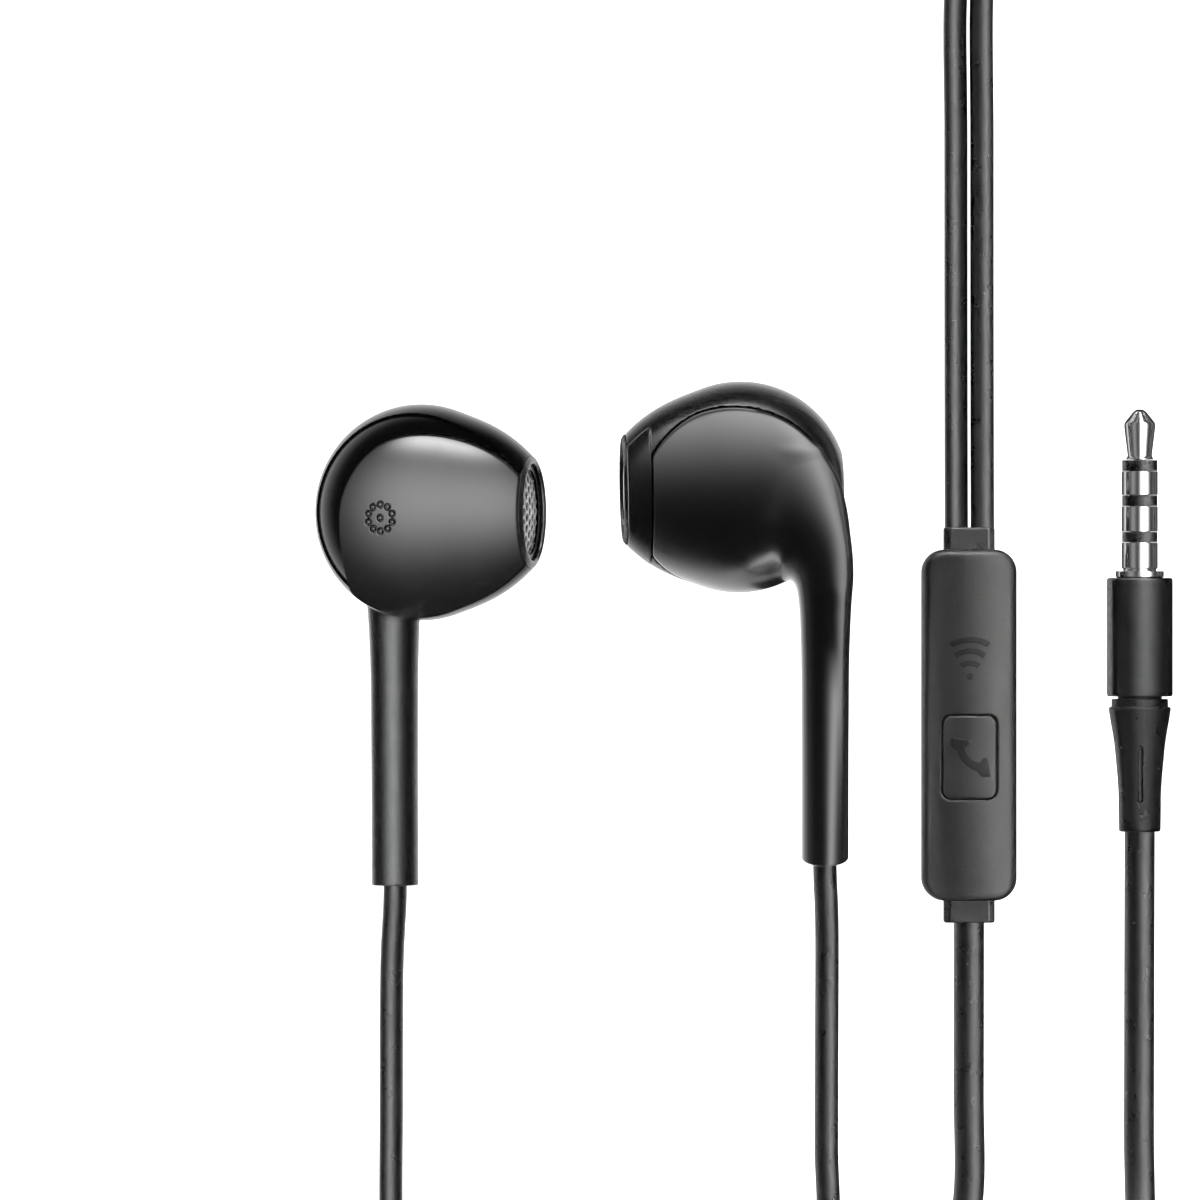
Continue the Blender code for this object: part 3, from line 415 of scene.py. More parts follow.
def turned_piece(name, profile, matrix, radius=0.08, closed=True, sides=72):
    """A piece turned about its own X from (x, radius) points, with eased corners."""
    ring = rounded_profile(profile, radius, closed)
    bm = bmesh.new()
    verts = [bm.verts.new((x * MM, r * MM, 0.0)) for x, r in ring]
    pairs = list(zip(verts, verts[1:]))
    if closed:
        pairs.append((verts[-1], verts[0]))
    edges = [bm.edges.new(pair) for pair in pairs]
    bmesh.ops.spin(
        bm, geom=verts + edges, cent=(0, 0, 0), axis=(1, 0, 0), angle=2 * math.pi, steps=sides, use_merge=True
    )
    bmesh.ops.remove_doubles(bm, verts=bm.verts, dist=1e-7)
    bmesh.ops.recalc_face_normals(bm, faces=bm.faces)
    mesh = bpy.data.meshes.new(name)
    bm.to_mesh(mesh)
    bm.free()
    mesh.shade_smooth()
    mesh.set_sharp_from_angle(angle=math.radians(40))
    obj = bpy.data.objects.new(name, mesh)
    bpy.context.scene.collection.objects.link(obj)
    obj.matrix_world = matrix
    return obj


# ------------------------------------------------------------------ cords


def bezier_cord(name, points, diameter):
    """A round cord on one smooth open curve through points in millimetres."""
    places = [Vector(p) * MM for p in points]
    curve = bpy.data.curves.new(name, "CURVE")
    curve.dimensions = "3D"
    curve.bevel_depth = diameter / 2 * MM
    curve.bevel_resolution = 10
    curve.resolution_u = 12
    curve.use_fill_caps = True
    spline = curve.splines.new("BEZIER")
    spline.bezier_points.add(len(places) - 1)
    before = [2 * places[0] - places[1]] + places[:-1]
    after = places[1:] + [2 * places[-1] - places[-2]]
    for knot, place, a, b in zip(spline.bezier_points, places, before, after):
        knot.handle_left_type = knot.handle_right_type = "FREE"
        knot.co = place
        knot.handle_left = place - (b - a) / 6
        knot.handle_right = place + (b - a) / 6
    obj = bpy.data.objects.new(name, curve)
    bpy.context.scene.collection.objects.link(obj)
    return obj


LEFT_ROUTE = (
    (-26.55, -31.0, 1.45),
    (-26.6, -44.0, 1.25),
    (-26.6, -57.0, 1.2),
    (-26.0, -74.0, 1.2),
    (-19.0, -97.0, 1.2),
    (0.0, -109.5, 1.2),
    (24.0, -112.0, 1.2),
    (47.0, -109.5, 1.2),
    (61.0, -95.0, 1.2),
    (63.4, -68.0, 1.2),
    (62.0, -30.0, 1.2),
    (62.3, 10.0, 1.2),
    (62.1, 48.0, 1.2),
    (62.1, 64.0, 1.2),
    (57.1, 76.0, 1.2),
    (45.1, 81.0, 1.2),
    (33.1, 76.0, 1.2),
    (29.45, 70.5, 1.2),
    (28.16, 64.0, 1.2),
    (28.16, 50.0, 1.2),
    (28.16, 36.0, 1.3),
    (28.16, 20.0, 2.1),
)
RIGHT_ROUTE = (
    (15.65, -27.0, 1.4),
    (15.63, -38.0, 1.25),
    (15.6, -48.0, 1.2),
    (15.6, -57.0, 1.2),
    (13.0, -65.5, 1.2),
    (3.5, -70.5, 1.2),
    (-9.0, -72.5, 1.2),
    (-19.0, -80.5, 1.2),
    (-16.0, -94.0, 1.2),
    (4.0, -103.5, 1.2),
    (30.0, -107.0, 1.2),
    (50.0, -103.5, 1.2),
    (58.2, -90.0, 1.2),
    (58.6, -68.0, 1.2),
    (57.4, -30.0, 1.2),
    (57.9, 10.0, 1.2),
    (57.7, 48.0, 1.2),
    (57.7, 64.0, 1.2),
    (53.7, 73.5, 1.2),
    (44.2, 77.5, 1.2),
    (34.7, 73.5, 1.2),
    (31.72, 69.2, 1.2),
    (30.69, 64.0, 1.2),
    (30.69, 50.0, 1.2),
    (30.69, 36.0, 1.3),
    (30.69, 20.0, 2.1),
)
MAIN_UPPER_ROUTE = (
    (29.4, -33.0, 2.2),
    (29.4, -43.0, 1.6),
    (29.35, -53.0, 1.55),
    (27.6, -60.0, 1.7),
    (24.5, -64.8, 1.95),
    (20.4, -68.0, 2.2),
)
MAIN_LOWER_ROUTE = (
    (51.5, -67.7, 7.2),
    (48.5, -62.8, 5.8),
    (46.35, -56.8, 3.8),
    (45.93, -50.0, 2.1),
    (45.93, -37.0, 1.6),
    (45.93, -26.0, 2.3),
)
BRANCH_LENGTH, MAIN_LENGTH = 0.42, 0.76  # metres, of a real set
CORD_IN_STEM = 3.0
CORD_IN_RELIEF = 1.1
CORD_IN_BOOT = 2.0


def eased(value, start, end):
    t = min(max((value - start) / (end - start), 0.0), 1.0)
    return t * t * (3 - 2 * t)


COIL_POINTS_PER_TURN = 16
COIL_LEAD = 0.1  # turns over which the cord runs into the coil
COIL_STEP = 0.11  # half the turns over which it moves to the next place
RADIUS_MOVES = ((1, -1), (2, -1), (4, 1), (5, 1))  # after how many turns it moves in or out by its thickness
LAYER_MOVES = (3, 6)  # after how many turns it climbs by its thickness


def coil_points(start, end):
    """Turns beside and on each other: inwards along the first layer, outwards along the next, then up."""
    centre = Vector((*COIL_CENTRE, 0.0))
    offset_in, offset_out = Vector(start) - centre, Vector(end) - centre
    angle_in = math.atan2(offset_in.y, offset_in.x)
    angle_out = math.atan2(offset_out.y, offset_out.x)
    turns = 6 + ((angle_out - angle_in) / (2 * math.pi)) % 1.0
    outer = COIL_MEAN_R + MAIN_D
    count = round(turns * COIL_POINTS_PER_TURN)
    points = []
    for i in range(1, count):
        u = turns * i / count
        radius = outer + (offset_in.xy.length - outer) * (1 - eased(u, 0.0, COIL_LEAD))
        radius += (offset_out.xy.length - outer) * eased(u, turns - COIL_LEAD, turns)
        radius += sum(sign * MAIN_D * eased(u, at - COIL_STEP, at + COIL_STEP) for at, sign in RADIUS_MOVES)
        layer = sum(eased(u, at - COIL_STEP, at + COIL_STEP) for at in LAYER_MOVES)
        height = COIL_LIFT + MAIN_D / 2 + layer * MAIN_D
        height += (end[2] - height) * eased(u, turns - COIL_LEAD, turns)
        angle = angle_in + 2 * math.pi * u
        points.append((centre.x + radius * math.cos(angle), centre.y + radius * math.sin(angle), height))
    return points


def stem_mouth(side):
    """Where a cord comes out of a stem: a point inside it, its end, and one just past it."""
    matrix = earbud_matrix(side)
    stem_x = EARBUDS[side][2]
    ends = (-STEM_LENGTH + CORD_IN_STEM, -STEM_LENGTH, -STEM_LENGTH - 1.3)
    return [matrix @ (Vector((stem_x, y, STEM_Z)) * MM) / MM for y in ends]


def make_cords():
    half = REMOTE_SIZE[1] / 2 + RELIEF_LENGTH - CORD_IN_RELIEF
    cords = {}
    for side, route in (("left", LEFT_ROUTE), ("right", RIGHT_ROUTE)):
        mouth = stem_mouth(side)
        end = (route[-1][0], REMOTE_CENTRE[1] + half, REMOTE_AXIS_Z)
        cord = bezier_cord(f"{side}_branch_cord_form", (mouth[0], mouth[2], *route, end), BRANCH_D)
        settle(cord, f"{side}_branch_cord", "rubber")
        cords[side] = (cord, mouth[1])
    start = (REMOTE_CENTRE[0], REMOTE_CENTRE[1] - half, REMOTE_AXIS_Z)
    end = (PLUG_X, BOOT_END + CORD_IN_BOOT, PLUG_Z)
    turns = coil_points(MAIN_UPPER_ROUTE[-1], MAIN_LOWER_ROUTE[0])
    points = (start, *MAIN_UPPER_ROUTE, *turns, *MAIN_LOWER_ROUTE, end)
    main = bezier_cord("main_cord_form", points, MAIN_D)
    settle(main, ("main_cord_upper", "main_cord_coil", "main_cord_lower"), "rubber")
    cords["main"] = (main, (start[0], start[1] - CORD_IN_RELIEF, start[2]))
    return cords


cords = make_cords()


def declare_cords(plug_pieces):
    for name, length, diameter, far_end, lay in (
        ("left", BRANCH_LENGTH, BRANCH_D, "object", "loose"),
        ("right", BRANCH_LENGTH, BRANCH_D, "object", "loose"),
        ("main", MAIN_LENGTH, MAIN_D, "plug", "coiled"),
    ):
        obj, leaves = cords[name]
        [c * MM for c in leaves]


TIE_THICKNESS, TIE_GAP, TIE_CORNERS = 0.42, 0.06, 72
TIE_SECTION = ((-0.5, 0.0), (-0.5, 0.7), (-0.42, 1.0), (0.42, 1.0), (0.5, 0.7), (0.5, 0.0))


def make_tie():
    """A strap drawn round the coil's turns."""
    r = MAIN_D / 2
    seats = [(column * MAIN_D, row * MAIN_D) for row in (0, 1) for column in (-1, 0, 1)] + [(MAIN_D, 2 * MAIN_D)]
    angles = [2 * math.pi * k / TIE_CORNERS for k in range(TIE_CORNERS)]
    # the strap's line is the farthest point of the bundle in each direction
    reach = r + TIE_GAP
    corners = []
    for a in angles:
        direction = Vector((math.cos(a), math.sin(a)))
        seat = max(seats, key=lambda s: s[0] * direction.x + s[1] * direction.y)
        corners.append(Vector(seat) + direction * reach)
    points, faces = [], []
    for a, corner in zip(angles, corners):
        direction = Vector((math.cos(a), math.sin(a)))
        for across, out in TIE_SECTION:
            place = corner + direction * (TIE_THICKNESS * out)
            points.append((COIL_MEAN_R + place.x, across * TIE_WIDTH, COIL_LIFT + r + place.y))
    columns = len(TIE_SECTION)
    for i in range(len(angles)):
        for j in range(columns):
            a, b = i * columns + j, i * columns + (j + 1) % columns
            step = ((i + 1) % len(angles)) * columns - i * columns
            faces.append((a, b, b + step, a + step))
    matrix = Matrix.Translation(Vector((*COIL_CENTRE, 0.0)) * MM) @ Matrix.Rotation(
        math.radians(TIE_ANGLE), 4, "Z"
    )
    tie = make_piece("coil_tie_form", points, faces, matrix)
    tie.data.set_sharp_from_angle(angle=math.radians(40))
    settle(tie, "coil_tie", "rubber")


make_tie()

# ------------------------------------------------------------------ earbuds


def taper(x):
    """Half the height of the head at x, and its slope: a circle, then an eased taper to the nozzle."""
    start = math.sqrt(HEAD_R**2 - TAPER_START**2)
    first = -TAPER_START / start
    span = TAPER_END - TAPER_START
    t = np.clip((x - TAPER_START) / span, 0.0, 1.0)
    value = (2 * t**3 - 3 * t**2 + 1) * start + (t**3 - 2 * t**2 + t) * span * first
    value += (3 * t**2 - 2 * t**3) * NOZZLE_R + (t**3 - t**2) * span * TAPER_SLOPE
    slope = (6 * t**2 - 6 * t) * (start - NOZZLE_R) / span + (3 * t**2 - 4 * t + 1) * first
    slope += (3 * t**2 - 2 * t) * TAPER_SLOPE
    value += TAPER_SLOPE * np.maximum(x - TAPER_END, 0.0)
    circle = np.sqrt(np.maximum(HEAD_R**2 - x * x, 0.5))
    round_part = x < TAPER_START
    return np.where(round_part, circle, value), np.where(round_part, -x / circle, slope)


def egg(x, y, z, flatness):
    """The head: a flattened ball that tapers to the nozzle."""
    q = np.sqrt(y * y + (z / flatness) ** 2) + 1e-6
    lean = np.sqrt(y * y + z * z / flatness**4)
    s = np.sqrt(x * x + q * q)
    ball = (s - HEAD_R) * s / np.sqrt(x * x + lean**2 + 1e-9)
    radius, slope = taper(x)
    cone = (q - radius) / np.sqrt(slope**2 + (lean / q) ** 2)
    share = np.clip(x - TAPER_START + 1.0, 0.0, 1.0)
    return ball + (cone - ball) * share


def smooth_table(stations, count=240):
    """A fine table along smooth curves through the rows of stations, whose first column rises."""
    table = np.array(stations, float)
    at = table[:, 0]
    slope = np.gradient(table, at, axis=0)
    fine = np.linspace(at[0], at[-1], count)
    k = np.clip(np.searchsorted(at, fine) - 1, 0, len(at) - 2)
    span = (at[k + 1] - at[k])[:, None]
    t = ((fine - at[k]) / span[:, 0])[:, None]
    low, high = table[k], table[k + 1]
    result = (2 * t**3 - 3 * t**2 + 1) * low + (t**3 - 2 * t**2 + t) * span * slope[k]
    result += (3 * t**2 - 2 * t**3) * high + (t**3 - t**2) * span * slope[k + 1]
    result[:, 0] = fine
    return result


STEM_TABLE = smooth_table(STEM_SECTIONS)


def stem(x, y, z, stem_x, radius=None):
    """The stem and its neck, or a bore of one radius along it."""
    at = STEM_TABLE[:, 0]
    shift, depth, size = (np.interp(y, at, STEM_TABLE[:, k]) for k in (1, 2, 3))
    distance = np.hypot(x - stem_x - shift, z - depth) - (radius or size)
    if radius:
        return smooth_max(0.3, distance, y - STEM_SECTIONS[-1][0])
    return smooth_max(0.7, distance, y - STEM_SECTIONS[-1][0])


def disc(x, y, centre, radius):
    return np.hypot(x - centre[0], y - centre[1]) - radius


def oval(y, z, half_y, half_z):
    q = np.hypot(y / half_y, z / half_z)
    return (q - 1.0) * q / np.sqrt((y / half_y**2) ** 2 + (z / half_z**2) ** 2 + 1e-9)


SEAM = 0.035  # half the gap left at a seam
EDGE = 0.2  # easing of an edge
NECK_EASE = 2.2  # how widely the stem's neck flows into the hood
FLANK_R, FLANK_TOP = 9.2, -1.0


def cover_outline(x, y):
    """The inner cover's outline: a wide arc over the head, with a flank that runs down beside the stem."""
    arc = disc(x, y, COVER_EDGE_CENTRE, COVER_EDGE_R)
    flank = np.hypot(x - COVER_BACK - FLANK_R, np.maximum(y - FLANK_TOP, 0.0)) - FLANK_R
    return smooth_max(0.8, arc, flank)


def outer_shell_field(stem_x):
    def field(x, y, z):
        head = egg(x, y, z, SHELL_FLATNESS)
        hood = smooth_max(EDGE, head, disc(x, y, HOOD_EDGE_CENTRE, HOOD_EDGE_R), x - HOOD_FRONT + SEAM)
        body = smooth_min(hood, stem(x, y, z, stem_x), NECK_EASE)
        body = smooth_max(EDGE, body, z + SPLIT_Z, -STEM_LENGTH - y)
        return smooth_max(0.15, body, -(head + WALL), -stem(x, y, z, stem_x, STEM_BORE_R))

    return field


RIM_HEIGHT = 3.2
RIM_PROUD = 0.22


def nozzle_housing_field(stem_x):
    def field(x, y, z):
        frame_body = egg(x, y, z, FRAME_FLATNESS)
        recess = RIM_PROUD * np.clip((z - RIM_HEIGHT) / 0.12, 0.0, 1.0)
        band = smooth_max(0.12, frame_body + recess, -(frame_body + WALL))
        room = smooth_max(0.1, cover_outline(x, y) - 2 * SEAM, SPLIT_Z - 2 * SEAM - z)
        hood_room = smooth_max(
            0.1,
            disc(x, y, HOOD_EDGE_CENTRE, HOOD_EDGE_R + 2 * SEAM),
            z + SPLIT_Z - 2 * SEAM,
            x - HOOD_FRONT - SEAM,
        )
        band = smooth_max(0.12, band, -room, -hood_room)
        proud = egg(x, y, z, SHELL_FLATNESS)
        radius, _ = taper(x)
        cap = smooth_max(
            0.15, proud, -(proud + WALL), np.abs(y) - radius + 0.3, HOOD_FRONT + SEAM - x, z + SPLIT_Z
        )
        tube = smooth_max(0.2, oval(y, z, *TUBE_OUTER), TUBE_BACK - x, x - TUBE_FRONT)
        wall = smooth_max(0.1, smooth_min(band, cap, 0.1), x - TRIM_BACK + 0.04)
        return smooth_max(
            0.1, np.minimum(wall, tube), -oval(y, z, *TUBE_BORE), -(stem(x, y, z, stem_x) - 2 * SEAM)
        )

    return field


DIMPLE_R, DIMPLE_DEPTH = 0.35, 0.4
BOSS_R, BOSS_DEPTH = 0.18, 0.06


def vents(x, y, head):
    """Round dimples with a small boss in each, in a ring round a middle one."""
    dx, dy = x - VENT_CENTRE[0], y - VENT_CENTRE[1]
    part = 2 * math.pi / VENT_COUNT
    angle = np.arctan2(dy, dx) - part / 2
    angle -= part * np.round(angle / part)
    away = np.hypot(dx, dy)
    ring = np.hypot(away * np.cos(angle) - VENT_RING_R, away * np.sin(angle))
    r = np.minimum(ring, away)
    bowl = smooth_max(0.1, r - DIMPLE_R, -head - DIMPLE_DEPTH)
    boss = smooth_max(0.1, r - BOSS_R, head + BOSS_DEPTH)
    return smooth_max(0.06, bowl, -boss)


def inner_cover_field(x, y, z):
    head = egg(x, y, z, SHELL_FLATNESS)
    body = smooth_max(EDGE, head, cover_outline(x, y), x - COVER_FRONT + SEAM, SPLIT_Z - z)
    return smooth_max(0.08, body, -(head + WALL), -vents(x, y, head))


def nozzle_trim_field(x, y, z):
    head = egg(x, y, z, SHELL_FLATNESS)
    body = smooth_max(0.4, head, x - TRIM_FRONT, -oval(y, z, *TRIM_BORE))
    return smooth_max(0.1, body, TRIM_BACK - x)


HEX_PITCH, HEX_WEB = 1.06, 0.16
GRILLE_THICKNESS, GRILLE_BULGE, GRILLE_BORDER = 0.36, 0.02, 0.4


def hexagons(y, z):
    """A honeycomb, below zero in its cells."""
    row = HEX_PITCH * math.sqrt(3)
    best = None
    for shift_y, shift_z in ((0.0, 0.0), (HEX_PITCH / 2, row / 2)):
        a = np.mod(y + shift_y + HEX_PITCH / 2, HEX_PITCH) - HEX_PITCH / 2
        b = np.mod(z + shift_z + row / 2, row) - row / 2
        cell = np.maximum(np.abs(a), np.abs(a) * 0.5 + np.abs(b) * math.sqrt(3) / 2)
        best = cell if best is None else np.minimum(best, cell)
    return best - HEX_PITCH / 2 + HEX_WEB


def nozzle_grille_field(x, y, z):
    edge = oval(y, z, *GRILLE)
    front = TUBE_FRONT + 0.95 - GRILLE_BULGE * (y * y + z * z)
    plate = smooth_max(0.08, edge, x - front, front - GRILLE_THICKNESS - x)
    holes = smooth_max(0.06, hexagons(y, z), edge + GRILLE_BORDER)
    return smooth_max(0.08, plate, -holes)


BUSHING_R, BUSHING_LENGTH = (1.17, 1.46), (0.1, 3.6)


def make_earbud(side):
    matrix = earbud_matrix(side)
    stem_x = EARBUDS[side][2]
    for name, field, low, high, step, finish in (
        (
            "outer_shell",
            outer_shell_field(stem_x),
            (-HEAD_R - 0.5, -STEM_LENGTH - 0.5, -9.4),
            (9.5, 10.6, -1.5),
            0.19,
            "gloss_black",
        ),
        (
            "nozzle_housing",
            nozzle_housing_field(stem_x),
            (-11.1, -11.1, -6.9),
            (11.3, 11.1, 7.6),
            0.15,
            "gloss_black",
        ),
        ("inner_cover", inner_cover_field, (-11.0, -11.0, 1.5), (11.3, 8.4, 9.3), 0.12, "gloss_grey"),
        ("nozzle_trim", nozzle_trim_field, (10.6, -6.2, -5.4), (11.8, 6.2, 5.4), 0.1, "gloss_black"),
        ("nozzle_grille", nozzle_grille_field, (9.4, -4.8, -3.95), (11.2, 4.8, 3.95), 0.07, "steel"),
    ):
        piece = field_piece(f"{side}_{name}_form", field, low, high, step, matrix)
        settle(piece, f"{side}_{name}", finish)
    inner, outer = BUSHING_R
    start, end = (along - STEM_LENGTH for along in BUSHING_LENGTH)
    bushing = ((start, inner), (end, inner), (end, outer), (start, outer))
    axis = matrix @ Matrix.Translation(Vector((stem_x, 0.0, STEM_Z)) * MM) @ Matrix.Rotation(math.pi / 2, 4, "Z")
    settle(turned_piece(f"{side}_stem_bushing_form", bushing, axis), f"{side}_stem_bushing", "rubber")


for side in EARBUDS:
    make_earbud(side)

# ------------------------------------------------------------------ remote

CROWN = 0.0535  # how fast the front falls away from its middle line
BUTTON_GAP = 0.13
BUTTON_PROUD = 0.1
remote_matrix = Matrix.Translation(Vector((*REMOTE_CENTRE, 0.0)) * MM)


def rounded_box(x, y, width, length, corner):
    qx = np.abs(x) - width / 2 + corner
    qy = np.abs(y) - length / 2 + corner
    return np.hypot(np.maximum(qx, 0), np.maximum(qy, 0)) + np.minimum(np.maximum(qx, qy), 0) - corner


def inner_outline(x, y):
    width, length = (s - 2 * REMOTE_WALL for s in REMOTE_SIZE)
    return rounded_box(x, y, width, length, REMOTE_CORNER - REMOTE_WALL)


def relief_passage(x, y, z):
    width, height = (s / 2 + 0.08 for s in RELIEF_SIZE)
    return smooth_max(0.1, np.abs(x) - width, np.abs(z - REMOTE_AXIS_Z) - height, 15.0 - np.abs(y))


def front_cover_field(x, y, z):
    top = REMOTE_TOP - CROWN * x * x
    body = smooth_max(0.9, rounded_box(x, y, *REMOTE_SIZE, REMOTE_CORNER), z - top)
    body = smooth_max(0.15, body, 2.95 - z)
    width, length = (s + 2 * BUTTON_GAP for s in BUTTON_SIZE)
    slot = rounded_box(x, y - BUTTON_Y, width, length, BUTTON_CORNER + BUTTON_GAP)
    cavity = smooth_max(0.2, inner_outline(x, y), z - top + REMOTE_WALL)
    return smooth_max(0.14, body, -cavity, -slot, -relief_passage(x, y, z))


def back_cover_field(x, y, z):
    body = smooth_max(1.0, rounded_box(x, y, *REMOTE_SIZE, REMOTE_CORNER), -z)
    body = smooth_max(0.15, body, z - 2.85)
    cavity = smooth_max(0.2, inner_outline(x, y), REMOTE_WALL - z)
    port = np.hypot(x, y - 6.5) - 0.5
    return smooth_max(0.14, body, -cavity, -relief_passage(x, y, z), -port)


def button_field(x, y, z):
    outline = rounded_box(x, y - BUTTON_Y, *BUTTON_SIZE, BUTTON_CORNER)
    cap = smooth_max(0.3, outline, z - REMOTE_TOP - BUTTON_PROUD + CROWN * x * x, 4.2 - z)
    flange = rounded_box(x, y - BUTTON_Y, BUTTON_SIZE[0] + 1.2, BUTTON_SIZE[1] + 1.2, 1.4)
    flange = smooth_max(0.1, flange, np.abs(z - 4.4) - 0.25)
    return np.minimum(cap, flange)


def relief_field(sign, holes):
    def field(x, y, z):
        along = sign * y - REMOTE_SIZE[1] / 2
        width, height = (s / 2 for s in RELIEF_SIZE)
        ax, az = np.abs(x), np.abs(z - REMOTE_AXIS_Z)
        block = smooth_max(0.12, ax - width, az - height, (ax + az - width - height + 0.55) / math.sqrt(2))
        block = smooth_max(0.25, block, along - RELIEF_LENGTH, -1.6 - along)
        flange = smooth_max(0.1, ax - 3.2, az - 1.85, along + 1.2, -2.1 - along)
        body = np.minimum(block, flange)
        for offset, radius in holes:
            bore = np.hypot(x - offset, z - REMOTE_AXIS_Z) - radius
            body = smooth_max(0.1, body, -smooth_max(0.1, bore, RELIEF_LENGTH - CORD_IN_RELIEF - 0.2 - along))
        return body

    return field


STRIP_POINTS = 7  # points across a printed strip
STRIP_PROUD, STRIP_DEPTH = 0.03, 0.05


def strip_piece(name, rows, thickness=STRIP_PROUD):
    """A thin printed strip that lies on the crowned front: rows of (x, y) pairs across it."""
    points, faces = [], []
    count = 2 * STRIP_POINTS
    for left, right in rows:
        across = [Vector(left).lerp(Vector(right), k / (STRIP_POINTS - 1)) for k in range(STRIP_POINTS)]
        points += [(p.x, p.y, REMOTE_TOP - CROWN * p.x * p.x + thickness) for p in across]
        points += [(p.x, p.y, REMOTE_TOP - CROWN * p.x * p.x - STRIP_DEPTH) for p in reversed(across)]
    for i in range(len(rows) - 1):
        a, b = i * count, (i + 1) * count
        for j in range(count):
            k = (j + 1) % count
            faces.append((a + j, a + k, b + k, b + j))
    last = count * (len(rows) - 1)
    for k in range(STRIP_POINTS - 1):
        corners = (count - 1 - k, count - 2 - k, k + 1, k)
        faces.append(corners)
        faces.append([last + c for c in reversed(corners)])
    return make_piece(name, points, faces, remote_matrix)


def arc_rows(centre, radius, start, end, half_width, count=28):
    rows = []
    for k in range(count):
        t = k / (count - 1)
        a = math.radians(start + (end - start) * t)
        w = half_width(t) if callable(half_width) else half_width
        rows.append(
            [(centre[0] + r * math.cos(a), centre[1] + r * math.sin(a)) for r in (radius + w, radius - w)]
        )
    return rows


def join_pieces(name, parts):
    """One object out of several with the same matrix."""
    with bpy.context.temp_override(
        active_object=parts[0], object=parts[0], selected_objects=parts, selected_editable_objects=parts
    ):
        bpy.ops.object.join()
    parts[0].name = name
    return parts[0]


WAVE_DOT, DOT_R = (0.05, 4.73), 0.17
WAVES, WAVE_HALF_WIDTH = ((1.3, 42.0), (2.45, 36.0), (3.55, 31.0)), 0.28  # radius, and half the angle
HANDSET_CENTRE, HANDSET_R, HANDSET_ENDS = (1.45, BUTTON_Y + 1.35), 2.35, (170.0, 280.0)


def handset_width(t):
    """Half the thickness of the handset symbol along its arc: slim grip, heavy ends."""
    end = abs(2 * t - 1)
    return 0.42 + 0.52 * eased(end, 0.5, 0.78)


def make_remote():
    half_x, half_y = (s / 2 + 0.3 for s in REMOTE_SIZE)
    front = field_piece(
        "remote_front_cover_form",
        front_cover_field,
        (-half_x, -half_y, 2.6),
        (half_x, half_y, 6.4),
        0.14,
        remote_matrix,
    )
    settle(front, "remote_front_cover", "satin_grey")
    back = field_piece(
        "remote_back_cover_form",
        back_cover_field,
        (-half_x, -half_y, -0.3),
        (half_x, half_y, 3.2),
        0.14,
        remote_matrix,
    )
    settle(back, "remote_back_cover", "satin_grey")
    button = field_piece(
        "call_button_form",
        button_field,
        (-3.6, BUTTON_Y - 5.0, 3.8),
        (3.6, BUTTON_Y + 5.0, 6.5),
        0.1,
        remote_matrix,
    )
    settle(button, "call_button", "satin_grey", BUTTON_BODY)
    offsets = [x - REMOTE_CENTRE[0] for x in (LEFT_ROUTE[-1][0], RIGHT_ROUTE[-1][0])]
    upper = [(offset, BRANCH_D / 2 + 0.03) for offset in offsets]
    lower = [(0.0, MAIN_D / 2 + 0.03)]
    for name, sign, holes in (("remote_upper_relief", 1, upper), ("remote_lower_relief", -1, lower)):
        ends = sorted((sign * 14.6, sign * 19.5))
        relief = field_piece(
            f"{name}_form", relief_field(sign, holes), (-3.6, ends[0], 0.8), (3.6, ends[1], 5.2), 0.1, remote_matrix
        )
        settle(relief, name, "rubber")

    waves = [
        strip_piece("wave", arc_rows(WAVE_DOT, radius, 90 - spread, 90 + spread, WAVE_HALF_WIDTH))
        for radius, spread in WAVES
    ]
    waves.append(strip_piece("dot", arc_rows(WAVE_DOT, DOT_R, 0.0, 360.0, DOT_R - 0.002, 24)))
    settle(join_pieces("remote_wave_symbol", waves), None, "satin_black", finish="ink")
    handset = arc_rows(HANDSET_CENTRE, HANDSET_R, *HANDSET_ENDS, handset_width, 48)
    handset = strip_piece("call_button_handset_symbol", handset, BUTTON_PROUD + STRIP_PROUD)
    settle(handset, None, "satin_black", BUTTON_BODY, "ink")


make_remote()

# ------------------------------------------------------------------ plug

plug_matrix = Matrix.Translation(Vector((PLUG_X, 0.0, PLUG_Z)) * MM) @ Matrix.Rotation(math.pi / 2, 4, "Z")
BOOT_SECTIONS = (
    (-17.5, 2.02),
    (-12.5, 2.16),
    (-10.6, 2.33),
    (-8.6, 2.53),
    (-6.4, 2.9),
    (-5.4, 3.05),
)
BOOT_TABLE = smooth_table(BOOT_SECTIONS)


def boot_field(x, y, z):
    """The flexible boot, about its own X, with slots that let it bend."""
    away = np.hypot(y, z)
    skirt = smooth_max(0.25, away - np.interp(x, BOOT_TABLE[:, 0], BOOT_TABLE[:, 1]), BOOT_END - x, x + 5.4)
    neck = smooth_max(0.1, away - 2.75, x + 4.62, -5.6 - x)
    spigot = smooth_max(0.1, away - 2.15, x + 2.3, -5.6 - x)
    body = np.minimum(np.minimum(skirt, neck), spigot)
    across = np.minimum(np.abs(y), np.abs(z))
    slot = np.hypot(across, np.maximum(np.abs(x + 11.9) - 2.5, 0.0)) - 0.2
    slot = smooth_max(0.08, slot, 1.75 - away)
    return smooth_max(0.1, body, -slot, MAIN_D / 2 - 0.02 - away)


